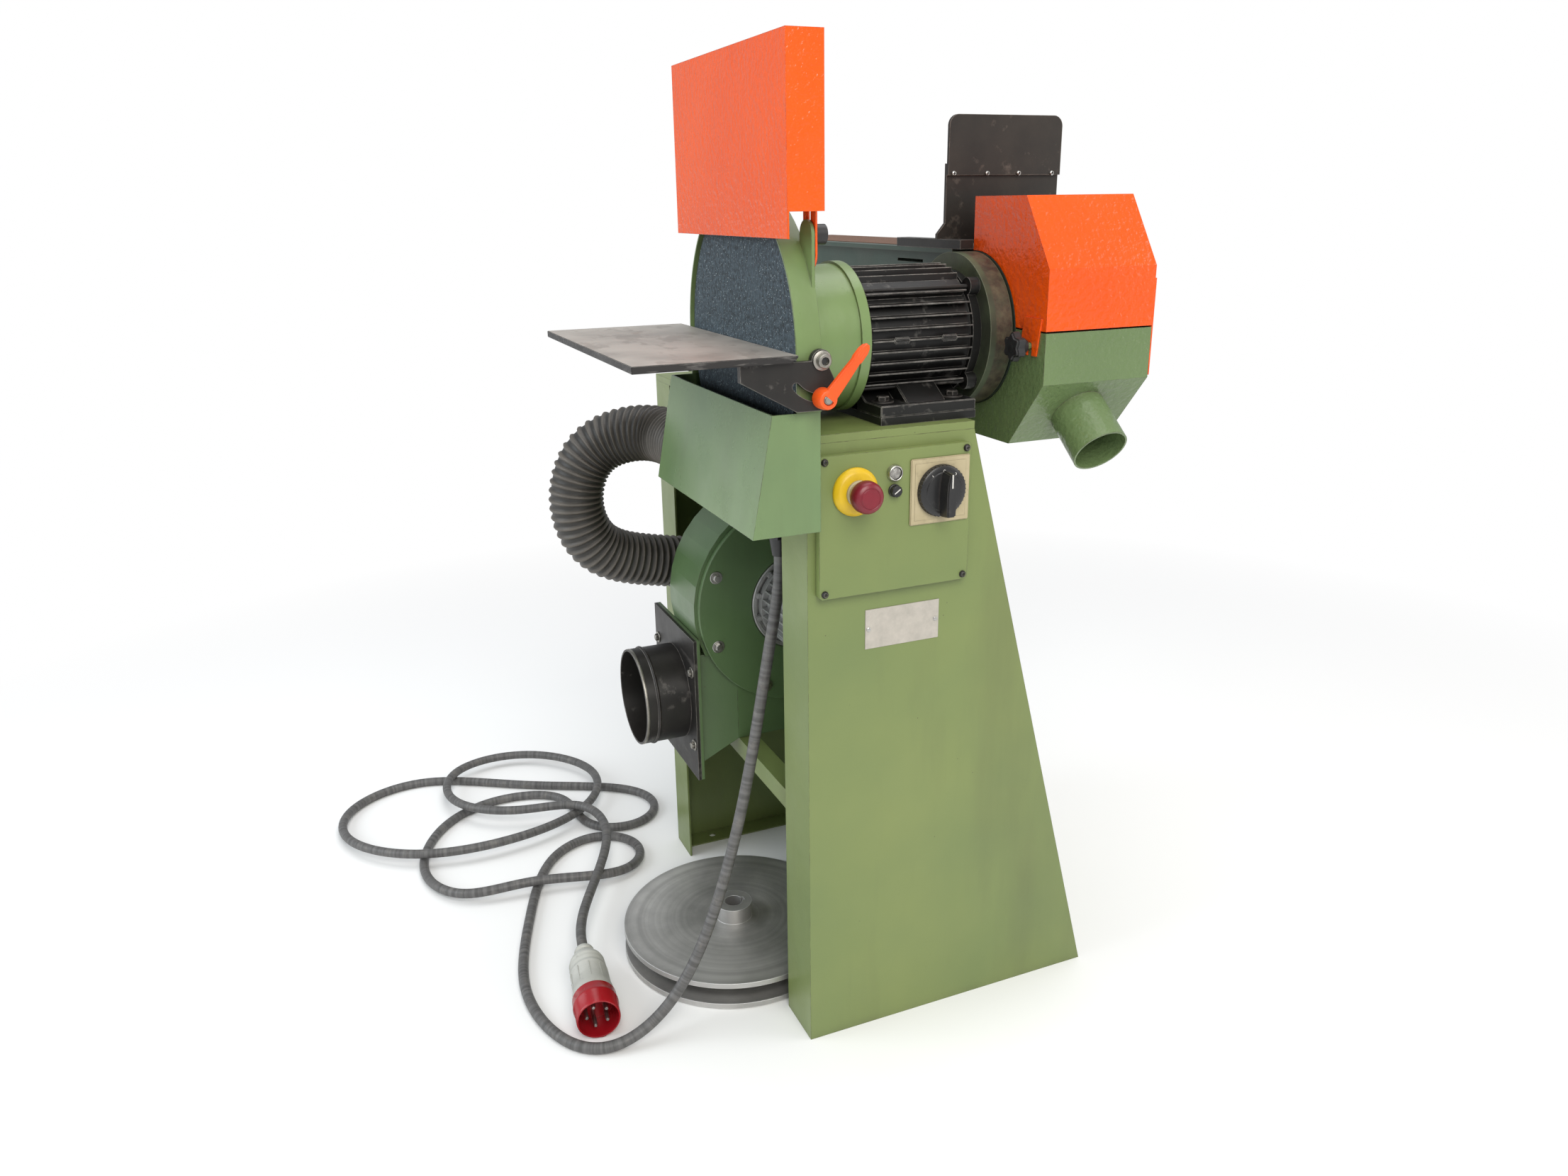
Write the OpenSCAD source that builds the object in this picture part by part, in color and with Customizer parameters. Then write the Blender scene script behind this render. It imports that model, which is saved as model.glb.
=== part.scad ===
// Belt and disc sander on a sheet-steel stand, with a dust blower built into the stand.
// The origin is the middle of the stand's footprint on the floor. +X points to the belt
// end, +Y to the back and +Z up. The control panel faces -Y.

/* [Stand] */
// Width of the stand at the floor
stand_base_w = 460; // [440:10:520]
// Width of the stand at its top
stand_top_w = 232; // [228:2:240]
// Depth of the stand from front to back
stand_d = 600; // [580:10:680]
// Height of the top plate above the floor
stand_h = 865; // [845:5:900]
// Thickness of the stand's folded sheet
stand_sheet = 3; // [2:0.5:4]
// Thickness of the top plate
top_plate_t = 10; // [8:1:14]
// Width of the folded edge at the front of the open side
front_flange_w = 80; // [60:5:90]
// Width of the folded edge at the back of the open side
rear_flange_w = 70; // [50:5:80]
// Width of the foot flange inside the stand
foot_flange_w = 40; // [30:5:50]
// Diameter of the anchor holes
anchor_d = 12; // [8:1:16]

/* [Motor] */
// Height of the shaft above the motor's feet
shaft_h = 90; // [90:1:100]
// Distance of the shaft behind the stand's front
axis_set_back = 120; // [110:5:140]
// Thickness of the plate under the motor's feet
base_plate_t = 10; // [8:1:14]
// Diameter of the motor frame at the roots of its fins
frame_d = 148; // [140:2:152]
// Length of the finned motor frame
frame_l = 145; // [135:1:150]
// Height of the cooling fins
fin_h = 12; // [8:1:14]
// Number of cooling fins round the frame
fin_count = 36; // [24:2:40]
// Distance between foot bolts along the shaft
foot_pitch_x = 100; // [80:2:104]
// Distance between foot bolts across the shaft
foot_pitch_y = 140; // [130:2:150]
// Diameter of the shaft
shaft_d = 28; // [24:1:30]

/* [Disc end] */
// Diameter of the sanding disc
disc_d = 350; // [330:5:360]
// Thickness of the disc plate
disc_t = 10; // [8:1:12]
// Thickness of the abrasive sheet on the disc
abrasive_t = 1.5; // [1:0.5:2]
// Diameter of the disc's hub
hub_d = 58; // [50:1:64]
// Length of the disc's hub
hub_l = 25; // [20:1:28]
// Length of the drum between motor and disc housing
drum_l = 108; // [100:1:115]
// Diameter of the drum's rim
drum_d = 186; // [180:1:190]
// Depth of the disc housing
housing_w = 30; // [28:1:34]
// Thickness of the housing's rim
housing_sheet = 2.5; // [2:0.5:3]
// How far the guard slides down
guard_travel = 115; // [60:5:115]
// Height of the guard's front plate
guard_h = 204; // [180:2:220]

/* [Table] */
// Length of the table across the disc
table_w = 400; // [380:5:440]
// Depth of the table
table_d = 186; // [170:2:200]
// Thickness of the table
table_t = 8; // [6:1:10]
// Gap between table and abrasive
table_gap = 10; // [8:1:14]
// Greatest tilt of the table
tilt_max = 45; // [30:5:45]
// Height of the dust chute under the disc
chute_h = 140; // [130:5:160]
// Diameter of the hose spigots
spigot_d = 66; // [60:1:70]

/* [Belt end] */
// Width of the sanding belt
belt_w = 150; // [120:5:150]
// Length of the sanding belt round its loop
belt_l = 2000; // [1900:10:2100]
// Thickness of the sanding belt
belt_t = 1.5; // [1:0.5:2]
// Diameter of the contact wheel
wheel_d = 200; // [190:2:204]
// Diameter of the idler wheel
idler_d = 90; // [80:2:100]
// Diameter of the swivel ring
ring_d = 197.4; // [196:0.2:200]
// Width of the swivel ring along the shaft
ring_w = 32; // [28:1:36]
// Thickness of the arm's side plate
arm_plate_t = 4; // [3:0.5:6]
// Thickness of the hoods' sheet
hood_sheet = 2; // [1.5:0.5:3]
// Diameter of the hood's dust spout
spout_d = 72; // [60:2:80]
// Length of the hood's dust spout
spout_l = 68; // [50:2:80]
// Height of the lower plate of the work stop
stop_low_h = 88; // [70:2:100]
// Height of the upper plate of the work stop
stop_high_h = 76; // [60:2:90]

/* [Blower] */
// Height of the blower's shaft above the floor
blower_z = 552; // [540:2:570]
// Distance of the blower's shaft from the open side
blower_inset = 115; // [110:1:125]
// Depth of the blower's casing
casing_d = 115; // [100:5:125]
// Scroll radius where the casing starts, at the left
scroll_start_r = 165; // [160:1:175]
// Scroll radius where the casing ends, at the bottom
scroll_end_r = 215; // [205:1:225]
// Diameter of the round cover
cover_d = 320; // [300:5:325]
// Number of bolts in the cover
cover_bolts = 8; // [6:1:12]
// Diameter of the dust outlet
outlet_d = 150; // [130:5:160]
// Length of the dust outlet
outlet_l = 70; // [60:5:100]

/* [Hose and cord] */
// Number of ribs on the dust hose
hose_ribs = 56; // [30:2:80]
// Diameter of the dust hose over its ribs
hose_d = 84; // [80:1:90]
// Diameter of the power cord
cord_d = 16; // [12:1:16]

/* [Hidden] */

// General
eps = 0.01;
overrun = 1;
running_fit = 0.05;
free_gap = 0.3;
screw_gap = 0.5;
$fn = 64;

// Frame of the stand
left_x = -stand_base_w / 2;
right_x = stand_base_w / 2;
front_y = -stand_d / 2;
rear_y = stand_d / 2;
top_right_x = left_x + stand_top_w;
body_h = stand_h - top_plate_t;
slant = atan((right_x - top_right_x) / body_h);
anchor_inset = 60;

// Shaft line
axis_y = front_y + axis_set_back;
axis_z = stand_h + base_plate_t + shaft_h;
shaft_r = shaft_d / 2;

// Motor
motor_inset = 105;
frame_x = left_x + motor_inset;
frame_end_x = frame_x + frame_l;
frame_r = frame_d / 2;
fin_tip_r = frame_r + fin_h;
fin_root_t = 4;
feet_from = 225;
feet_to = 315;
fin_tip_t = 2.4;
left_shield_t = 5;
right_shield_t = 14;
shield_r = 80;
shield_draft = 3;
lug_r = 11;
lug_ring_r = 84;
foot_t = 14;
foot_w = 45;
foot_l = 135;
foot_margin = 30;
foot_span = foot_pitch_y + 2 * foot_margin;
foot_bolt_r = 5;
foot_bolt_head_r = 8.5;
foot_bolt_head_h = 6.5;
fin_boss_r = 5;
fin_boss_l = 14;
boss_shares = [0.32, 0.5];
boss_out_share = 0.93;
boss_up_share = 0.34;
box_l = 90;
box_w = 70;
box_h = 45;
box_lid_t = 6;

// Disc end, from the motor to the left
drum_end_x = frame_x - left_shield_t;
drum_x = drum_end_x - drum_l;
drum_step = 8;
drum_neck_r = drum_d / 2 - drum_step;
drum_rim_l = 13;
drum_rim_step = 3;
drum_wall = 8;
hub_bore_gap = 3;
hub_bore_r = hub_d / 2 + hub_bore_gap;
back_plate_t = 4;
housing_front_x = drum_x - housing_w;
disc_inset = 4;
disc_face_x = housing_front_x + disc_inset;
disc_back_x = disc_face_x + abrasive_t + disc_t;
disc_gap = 3;
housing_in_r = disc_d / 2 + disc_gap;
housing_r = housing_in_r + housing_sheet;
disc_edge_round = 2;

// Table and its trunnions
table_rise = 6.5;
table_top_z = axis_z + table_rise;
table_x = disc_face_x - table_gap - table_d;
table_end_x = table_x + table_d;
table_y = axis_y - table_w / 2;
table_bevel = 7.5;
table_rib_h = 18;
table_rib_t = 8;
table_rib_inset = 86;
pivot_x = drum_x - back_plate_t;
pivot_drop = 2;
pivot_z = axis_z - pivot_drop;
pivot_r = 5;
trunnion_t = 8;
trunnion_gap = 1.5;
trunnion_y = axis_y - housing_r - trunnion_gap - trunnion_t;
trunnion_reach = 96;
trunnion_drop = 55;
trunnion_heel = 19;
trunnion_ear_r = 12;
trunnion_foot_l = 30;
trunnion_waist_share = 0.4;
slot_r = 41;
slot_extra = 4;
arc_steps = 12;
end_step = 30;
end_steps = 4;
stud_r = 4;
lever_arm = 76;
lever_angle = 50;
lever_hub_r = 12;
lever_hub_l = 18;
lever_t = 7;
lever_rise = 1;
lever_root_r = 8;
lever_tip_r = 6;
washer_t = 2;
washer_r = 11;

// Chute under the disc
chute_sheet = 2;
chute_top_drop = 60;
chute_top_z = axis_z - chute_top_drop;
chute_z = chute_top_z - chute_h;
chute_top_reach = 60;
chute_low_reach = 86;
chute_w = 2 * housing_r - overrun;
chute_spigot_lead = 8;
chute_spigot_x = housing_front_x - chute_spigot_lead;
chute_spigot_rise = 37;
chute_spigot_z = chute_z + chute_spigot_rise;
spigot_r = spigot_d / 2;
spigot_wall = 3;
spigot_l = 45;

// Guard over the disc
guard_sheet = 2.4;
guard_front_gap = 10.5;
guard_front_x = housing_front_x - guard_front_gap;
guard_back_gap = 0.6;
guard_back_x = drum_x + guard_back_gap;
guard_side_gap = 0.9;
guard_half_w = housing_r + guard_side_gap + guard_sheet;
guard_low_share = 0.698;
guard_low_z = axis_z + housing_r * guard_low_share;
guard_top_z = guard_low_z + guard_h;
guard_side_rise = 27.5;
guard_leg_w = 32;
guard_leg_inset = 19;
guard_leg_drop = 34;
guard_bend_r = 6;
guard_knob_share = 0.715;
guard_knob_z = axis_z + housing_r * guard_knob_share;
guard_knob_r = 11;
guard_knob_l = 15;
guard_stud_r = 3;

// Belt end, from the motor to the right
ring_x = frame_end_x + right_shield_t;
ring_r = ring_d / 2;
ring_wall = 11;
ring_plate_t = 6;
hub_r = ring_r - ring_wall - free_gap;
arm_gap = 4;
arm_x = ring_x + ring_w + arm_gap;
shaft_bore_gap = 4;
shaft_bore_r = shaft_r + shaft_bore_gap;
belt_x = arm_x + arm_plate_t + overrun;
belt_gap = 0.3;
loop_steps = 25;
wheel_r = wheel_d / 2;
idler_r = idler_d / 2;
wheel_hub_r = 26;
idler_axle_r = 10;
rim_t = 12;
web_t = 12;
loop_mean_r = wheel_r + belt_gap + belt_t / 2;
idler_mean_r = idler_r + belt_gap + belt_t / 2;
radius_step = wheel_r - idler_r;
// The loop's length is two tangents and two arcs, and the step between the wheels is small
half_arcs = PI * (loop_mean_r + idler_mean_r) / 2;
wheel_span = belt_l / 2 - half_arcs - radius_step * radius_step / (belt_l - 2 * half_arcs);
idler_y = axis_y + sqrt(wheel_span * wheel_span - radius_step * radius_step);
idler_z = axis_z + radius_step;
belt_angle = 2 * asin(radius_step / wheel_span);
belt_top_z = axis_z + wheel_r + belt_gap;
arm_top_under = 5;
arm_top_z = axis_z + wheel_r - arm_top_under;
arm_end_r = 38;
arm_low_drop = 30;
arm_top_lead = 20;
arm_root_y_share = 0.1;
arm_root_z_share = 0.98;
arm_low_z_share = 0.9;
arm_end_share = 0.6;
arm_slot_w = 4;
arm_slot_l = 74;
arm_slot_set = 139;
arm_slot_y = axis_y + arm_slot_set;
rail_w = 20;
rail_t = 6;
rail_rise = arm_top_z - axis_z;
rail_front = sqrt(ring_r * ring_r - rail_rise * rail_rise) + free_gap;
platen_t = 6;
beam_h = 36;
beam_inset = 6;
beam_wall = 4;
platen_front = 100;
tension_travel = 18;
platen_gap = 9;
platen_rear = idler_r + tension_travel + platen_gap;

// Idler slide, tension spring and tracking
slide_t = 14;
slide_l = 96;
slide_h = 44;
slide_slot_l = 30;
guide_t = 8;
spring_r = 9;
spring_wire_r = 1.5;
spring_coils = 9;
spring_l = 60;
anchor_l = 12;
tension_lever_l = 85;
tension_lever_r = 6;
tracking_knob_r = 16;
tracking_knob_l = 18;

// Hoods over the contact wheel
hood_front_set = 164;
hood_front_y = axis_y - hood_front_set;
hood_side_gap = 5;
hood_w = belt_x - arm_x + belt_w + hood_side_gap;
hood_seam_rise = 7;
hood_seam_z = axis_z + hood_seam_rise;
hood_seam_gap = 2;
hood_arc_gap = 0.8;
hood_arc_r = ring_r + hood_arc_gap;
hood_shoulder_rise = 82.5;
hood_shoulder_z = axis_z + hood_shoulder_rise;
hood_top_rise = 167;
hood_top_z = axis_z + hood_top_rise;
hood_top_set = 109;
hood_top_y = axis_y - hood_top_set;
hood_rear_set = 6;
hood_rear_y = axis_y + hood_rear_set;
low_knee_drop = 56;
low_knee_z = axis_z - low_knee_drop;
low_floor_drop = 140;
low_floor_z = axis_z - low_floor_drop;
low_slope_set = 95;
low_slope_y = axis_y - low_slope_set;
low_rear_set = 120;
low_rear_y = axis_y + low_rear_set;
low_rear_drop = 115;
low_rear_z = axis_z - low_rear_drop;
spout_wall = 2.5;
tab_t = 2;
tab_top_rise = 24;
tab_top_z = axis_z + tab_top_rise;
tab_low_drop = 22;
tab_low_z = axis_z - tab_low_drop;
tab_w = 44;
tab_top_share = 0.82;
tab_set = 156;
tab_y = axis_y - tab_set;
side_strap_w = 18;
side_strap_h = 120;
side_strap_drop = 53;
side_strap_z = axis_z - side_strap_drop;
low_lip = 20;
hood_stud_r = 4;
hood_stud_drop = 10;
hood_stud_z = axis_z - hood_stud_drop;
hood_stud_set = 134;
hood_stud_y = axis_y - hood_stud_set;
star_knob_r = 19;
star_knob_l = 22;
star_neck_r = 8;
star_gap = 6;

// Work stop
stop_t = 5;
stop_set = 67;
stop_y = axis_y + stop_set;
stop_left = 8;
stop_w = 178;
stop_gap = 4;
stop_corner_r = 14;
stop_bar_l = 173;
stop_bar_t = 12;
stop_bar_front = 7;
stop_lap = 15;
stop_foot_h = 20;
stop_weld_h = 6;

// Controls
lid_w = 210;
lid_h = 179.5;
lid_raise = 12;
lid_set = 11;
lid_x = left_x + lid_set;
lid_drop = 203;
lid_z = stand_h - lid_drop;
lid_round = 5;
lid_overlap = 14;
control_depth = 152;
control_h = 118;
control_sheet = 2;
lid_screw_r = 4;
lid_screw_inset = 7;
panel_y = front_y - lid_raise;
button_set = 58.5;
button_x = left_x + button_set;
button_rise = 133;
button_z = lid_z + button_rise;
button_base_r = 30;
button_base_t = 10;
collar_r = 15;
collar_l = 9;
button_r = 20;
button_l = 20;
button_push = 4;
lamp_set = 112;
lamp_x = left_x + lamp_set;
lamp_rise = 151;
lamp_z = lid_z + lamp_rise;
lamp_r = 10.5;
lamp_lens_r = 8;
lamp_l = 6;
fuse_rise = 129;
fuse_z = lid_z + fuse_rise;
fuse_r = 8;
fuse_l = 10;
switch_set = 176;
switch_x = left_x + switch_set;
switch_rise = 123;
switch_z = lid_z + switch_rise;
switch_side = 84;
switch_t = 3;
switch_round = 6;
knob_r = 33;
knob_top_r = 29;
knob_l = 30;
knob_grip_t = 13;
knob_skirt = 7;

// Blower
blower_x = left_x + blower_inset;
blower_y = 0;
casing_wall = 4;
casing_eye_r = 136;
scroll_steps = 30;
scroll_growth = 1.8;
tongue_angle = 25;
duct_start = 100;
counter_set = 4;
counter_x = blower_x - scroll_start_r + counter_set;
cover_t = 8;
cover_bolt_inset = 18;
cover_bolt_ring = cover_d / 2 - cover_bolt_inset;
cover_bolt_r = 6.5;
cover_bolt_h = 5;
cover_ribs = 12;
cover_rib_t = 6;
motor_neck_r = 65;
bm_r = 56;
bm_fin_h = 8;
bm_fins = 30;
bm_l = 112;
bm_neck_l = 12;
cowl_l = 34;
cowl_wall = 2;
cowl_slots = 12;
bm_box_w = 70;
bm_box_l = 64;
bm_box_h = 34;
box_from = 330;
box_to = 360;
bm_shaft_r = 9;
fan_r = 118;
fan_eye_r = 46;
fan_w = 58;
fan_back_t = 4;
fan_blades = 12;
fan_blade_t = 3;
fan_hub_r = 20;
elbow_bend_r = 50;
elbow_turn = 12;
elbow_lead = 10;
elbow_flange_r = 58;
elbow_step = 0.5;
elbow_flange_t = 6;
collar_under = 2;
elbow_collar_r = hose_d / 2 - collar_under;
plate_w = 195;
plate_h = 229;
plate_t = 5;
outlet_set = 87.5;
outlet_y = blower_y + outlet_set;
outlet_drop = 154;
outlet_z = blower_z - outlet_drop;
spigot_sheet = 3;
flange_bolt_r = 6;
flange_bolt_h = 5;
flange_bolt_inset = 14;
flange_bolt_rise = 60;
duct_clear = 18;
rail_leg = 30;
rail_sheet = 4;
rail_left_x = blower_x - duct_start + overrun;
rail_right_set = 178;
rail_right_x = left_x + rail_right_set;

// Spare backing discs on the floor
spare_set_x = 14;
spare_x = left_x - spare_set_x;
spare_set_y = 268;
spare_y = front_y + spare_set_y;
spare_bore_r = 14;
key_w = 8;
key_d = 3.3;

// Dust hose: it leaves the chute straight back, hangs in a loop and comes back to the elbow
hose_r = hose_d / 2;
hose_groove = 4;
hose_wall = 1.5;
hose_sides = 8;
hose_seat = 1;
hose_steps = 14;
elbow_dir = [-cos(elbow_turn), 0, sin(elbow_turn)];
chute_end = [chute_spigot_x, axis_y + chute_w / 2 + free_gap, chute_spigot_z];
elbow_end = [blower_x, blower_y + casing_d + elbow_flange_t + elbow_lead + elbow_bend_r, blower_z]
    + elbow_dir * (elbow_bend_r + hose_seat);
hose_lead = hose_d;
// Turns of the hose between its ends, as shares of the way from the elbow's end to the chute's end,
// then how far each lies to the left and to the back of the chute's spigot, in diameters of the hose
hose_drop_shares = [1.02, 0.98, 0.86, 0.6, 0.34, 0.16];
hose_left_shares = [0.3, 0.85, 1.35, 1.6, 1.45, 0.95];
hose_back_shares = [1.45, 1.85, 2, 2.02, 2.02, 2.05];

// Power cord: the points of its route, from the gland to the plug
cord_r = cord_d / 2;
cord_sides = 8;
cord_rings = 2;
cord_exit = [-210, -165, 680];
plug_end = [-485, -11, 33];
cord_route = [
    [-210, -165, 639], [-231, -158, 516], [-280, -180, 298], [-360, -200, 94], [-441, -211, 18],
    [-515, -216, 8], [-567, -157, 8], [-593, -25, 8], [-541, 144, 8], [-478, 330, 8],
    [-363, 376, 8], [-290, 294, 8], [-350, 186, 14], [-514, 239, 28], [-635, 225, 18],
    [-700, 351, 8], [-653, 506, 8], [-537, 592, 8], [-374, 554, 8], [-397, 398, 8], [-294, 353, 8],
    [-221, 419, 8], [-255, 525, 8], [-461, 606, 8], [-638, 746, 8], [-802, 674, 8], [-822, 515, 18],
    [-700, 383, 27], [-529, 368, 27], [-358, 425, 25], [-290, 594, 23], [-421, 749, 22],
    [-596, 732, 22], [-626, 557, 30], [-503, 448, 37], [-371, 448, 44], [-340, 308, 38],
    [-476, 80, 33]
];
gland_r = 14;
gland_lip = 2;
gland_l = 35;
gland_nut_r = 17;
gland_nut_l = 10;
plug_r = 30;
plug_neck_r = 15;
plug_seat = 0.4;
plug_ridge = 3;
plug_ridge_z = 6;
plug_ridge_l = 6;
plug_neck_l = 14;
plug_cone_l = 34;
plug_edge = 3;
plug_collar_r = 33;
plug_l = 118;
collar_len = 47;
collar_wall = 3;
pin_count = 5;
pin_r = 3;
pin_ring_r = 16;
pin_l = 34;
plug_turn = 6.4;

// Small helpers
module along_x(x, y = axis_y, z = axis_z) {
    translate([x, y, z]) rotate([0, 90, 0]) children();
}
// Outline in the Y-Z plane, thick along X
module plate_x(x, t) {
    translate([x, 0, 0]) rotate([90, 0, 90]) linear_extrude(t) children();
}
// Outline in the X-Z plane, thick along Y
module plate_y(y, t) {
    translate([0, y + t, 0]) rotate([90, 0, 0]) linear_extrude(t) children();
}
module ring(r, bore, h) {
    difference() {
        cylinder(r = r, h = h);
        translate([0, 0, -overrun]) cylinder(r = bore, h = h + 2 * overrun);
    }
}
module hex_bolt(head_r, head_h) {
    cylinder(r = head_r, h = head_h, $fn = 6);
}
function arc(mid, r, from, to, steps) =
    [for (i = [0 : steps]) let (a = from + (to - from) * i / steps) mid + r * [cos(a), sin(a)]];
module rounded_rect(w, h, r) {
    hull() {
        for (x = [r, w - r], y = [r, h - r]) translate([x, y]) circle(r = r);
    }
}

// Smooth curve that starts and ends on its first and last points
function curve_at(a, b, c, d, t) =
    (pow(1 - t, 3) * a + (3 * pow(t, 3) - 6 * t * t + 4) * b
    + (-3 * pow(t, 3) + 3 * t * t + 3 * t + 1) * c + pow(t, 3) * d) / 6;
function padded(p) = concat([2 * p[0] - p[1]], p, [2 * p[len(p) - 1] - p[len(p) - 2]]);
function curve(p, steps) = let (q = padded(p)) concat(
    [for (i = [1 : len(q) - 3], k = [0 : steps - 1]) curve_at(q[i - 1], q[i], q[i + 1], q[i + 2], k / steps)],
    [p[len(p) - 1]]);
function unit(v) = v / norm(v);
function direction(p, i) = unit(p[min(i + 1, len(p) - 1)] - p[max(i - 1, 0)]);
function carried(v, axis) = unit(v - (v * axis) * axis);
// A side direction carried along the curve without twist
function sides_of(p, first, i = 0, seen = []) =
    i == len(p) ? seen
    : let (side = carried(i == 0 ? first : seen[i - 1], direction(p, i)))
        sides_of(p, first, i + 1, concat(seen, [side]));
function ring_points(centre, axis, side, r, n) = let (other = cross(axis, side))
    [for (k = [0 : n - 1]) centre + r * (cos(360 * (k + 0.5) / n) * side + sin(360 * (k + 0.5) / n) * other)];
function band(a, b, n) = [for (k = [0 : n - 1], up = [true, false])
    let (m = (k + 1) % n) up ? [a + k, b + k, a + m] : [a + m, b + k, b + m]];
function disc_faces(a, n, flip) = [for (k = [1 : n - 2]) flip ? [a, a + k + 1, a + k] : [a, a + k, a + k + 1]];

// Solid round tube along a list of ring centres
module sweep(path, r, n, first_side) {
    axes = [for (i = [0 : len(path) - 1]) direction(path, i)];
    sides = sides_of(path, first_side);
    points = [for (i = [0 : len(path) - 1]) each ring_points(path[i], axes[i], sides[i], r, n)];
    last = (len(path) - 1) * n;
    faces = concat(
        [for (i = [0 : len(path) - 2]) each band(i * n, (i + 1) * n, n)],
        disc_faces(0, n, false), disc_faces(last, n, true));
    polyhedron(points, faces);
}

// Hollow tube whose outer radius follows a list and whose bore is smooth
module hollow_sweep(path, radii, bore, n, first_side) {
    count = len(path);
    axes = [for (i = [0 : count - 1]) direction(path, i)];
    sides = sides_of(path, first_side);
    outer = [for (i = [0 : count - 1]) each ring_points(path[i], axes[i], sides[i], radii[i], n)];
    inner = [for (i = [0 : count - 1]) each ring_points(path[i], axes[i], sides[i], bore, n)];
    base = count * n;
    last = (count - 1) * n;
    faces = concat(
        [for (i = [0 : count - 2]) each band(i * n, (i + 1) * n, n)],
        [for (i = [0 : count - 2]) each [for (f = band(base + i * n, base + (i + 1) * n, n)) [f[0], f[2], f[1]]]],
        [for (f = band(0, base, n)) [f[0], f[2], f[1]]],
        band(last, base + last, n));
    polyhedron(concat(outer, inner), faces);
}

// Stand
module stand_outline(inset, low, high) {
    shift = inset / cos(slant);
    lean = tan(slant);
    polygon([
        [left_x + inset, low], [right_x - shift - low * lean, low],
        [right_x - shift - high * lean, high], [left_x + inset, high]
    ]);
}
module foot_flanges() {
    inner_l = stand_base_w - stand_sheet - foot_flange_w;
    difference() {
        translate([left_x + stand_sheet, front_y + stand_sheet, 0])
            cube([stand_base_w - 3 * stand_sheet, stand_d - 2 * stand_sheet, stand_sheet]);
        translate([left_x - overrun, front_y + foot_flange_w, -overrun])
            cube([inner_l + overrun, stand_d - 2 * foot_flange_w, stand_sheet + 2 * overrun]);
        for (x = [left_x + anchor_inset, right_x - anchor_inset], side = [-1, 1])
            translate([x, side * (rear_y - foot_flange_w / 2), -overrun])
                cylinder(d = anchor_d, h = stand_sheet + 2 * overrun);
    }
}
module stand() color("darkseagreen") {
    difference() {
        plate_y(front_y, stand_d) stand_outline(0, 0, body_h);
        plate_y(front_y + stand_sheet, stand_d - 2 * stand_sheet)
            stand_outline(stand_sheet, -overrun, body_h + overrun);
        translate([left_x - overrun, front_y + front_flange_w, -overrun])
            cube([stand_sheet + 2 * overrun, stand_d - front_flange_w - rear_flange_w, body_h + 2 * overrun]);
        translate([lid_x + lid_overlap, front_y - overrun, lid_z + lid_overlap])
            cube([lid_w - 2 * lid_overlap, stand_sheet + 2 * overrun, lid_h - 2 * lid_overlap]);
    }
    foot_flanges();
}
module top_plate() color("darkseagreen") {
    translate([left_x, front_y, body_h]) cube([stand_top_w, stand_d, top_plate_t]);
}
// Two angle rails that carry the blower across the stand
rail_top_z = blower_z - scroll_end_r - free_gap;
module angle_rail(x, turn) {
    inside = stand_d - 2 * stand_sheet;
    translate([x, 0, rail_top_z]) mirror([turn, 0, 0]) plate_y(-inside / 2, inside)
        polygon([
            [0, 0], [rail_leg, 0], [rail_leg, -rail_sheet], [rail_sheet, -rail_sheet],
            [rail_sheet, -rail_leg], [0, -rail_leg]
        ]);
}
module blower_rails() color("dimgray") {
    angle_rail(rail_left_x, 0);
    angle_rail(rail_right_x + rail_leg, 1);
}

// Controls
module control_box() color("darkseagreen") {
    x = lid_x + lid_overlap / 2;
    z = lid_z + lid_h - lid_overlap / 2 - control_h;
    w = lid_w - lid_overlap;
    difference() {
        translate([x, front_y + stand_sheet, z]) cube([w, control_depth, control_h]);
        translate([x + control_sheet, front_y + stand_sheet - overrun, z + control_sheet])
            cube([w - 2 * control_sheet, control_depth - control_sheet + overrun, control_h - 2 * control_sheet]);
    }
}
module control_lid() color("darkseagreen") {
    screws = [for (x = [lid_screw_inset, lid_w - lid_screw_inset], z = [lid_screw_inset, lid_h - lid_screw_inset])
        [x, z]];
    translate([lid_x, 0, lid_z]) {
        difference() {
            plate_y(panel_y, lid_raise) rounded_rect(lid_w, lid_h, lid_round);
            translate([lid_overlap, panel_y + stand_sheet, lid_overlap])
                cube([lid_w - 2 * lid_overlap, lid_raise, lid_h - 2 * lid_overlap]);
        }
        for (s = screws) translate([s[0], panel_y, s[1]]) rotate([90, 0, 0])
            cylinder(r = lid_screw_r, h = lid_screw_r / 2);
    }
}
module facing(x, z, y = panel_y) {
    translate([x, y, z]) rotate([90, 0, 0]) children();
}
module stop_button_base() color("gold") facing(button_x, button_z) {
    rotate_extrude() polygon([
        [0, 0], [button_base_r, 0], [button_base_r, button_base_t / 2],
        [button_base_r - button_base_t / 2, button_base_t], [0, button_base_t]
    ]);
    translate([0, 0, button_base_t]) difference() {
        cylinder(r = collar_r, h = collar_l);
        translate([0, 0, collar_l - 2 * button_push]) cylinder(r = collar_r - button_push + screw_gap, h = collar_l);
    }
}
module stop_button() color("red") facing(button_x, button_z, panel_y - button_base_t - collar_l - button_push) {
    rotate_extrude() polygon([
        [0, -2 * button_push], [collar_r - button_push, -2 * button_push],
        [collar_r - button_push, 0], [button_r, button_l / 4], [button_r, button_l * 0.7],
        [button_r * 0.8, button_l], [0, button_l]
    ]);
}
module pilot_lamp() color("lightgray") facing(lamp_x, lamp_z) {
    ring(lamp_r, lamp_lens_r, lamp_l);
    cylinder(r = lamp_lens_r, h = lamp_l / 2);
}
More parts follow.
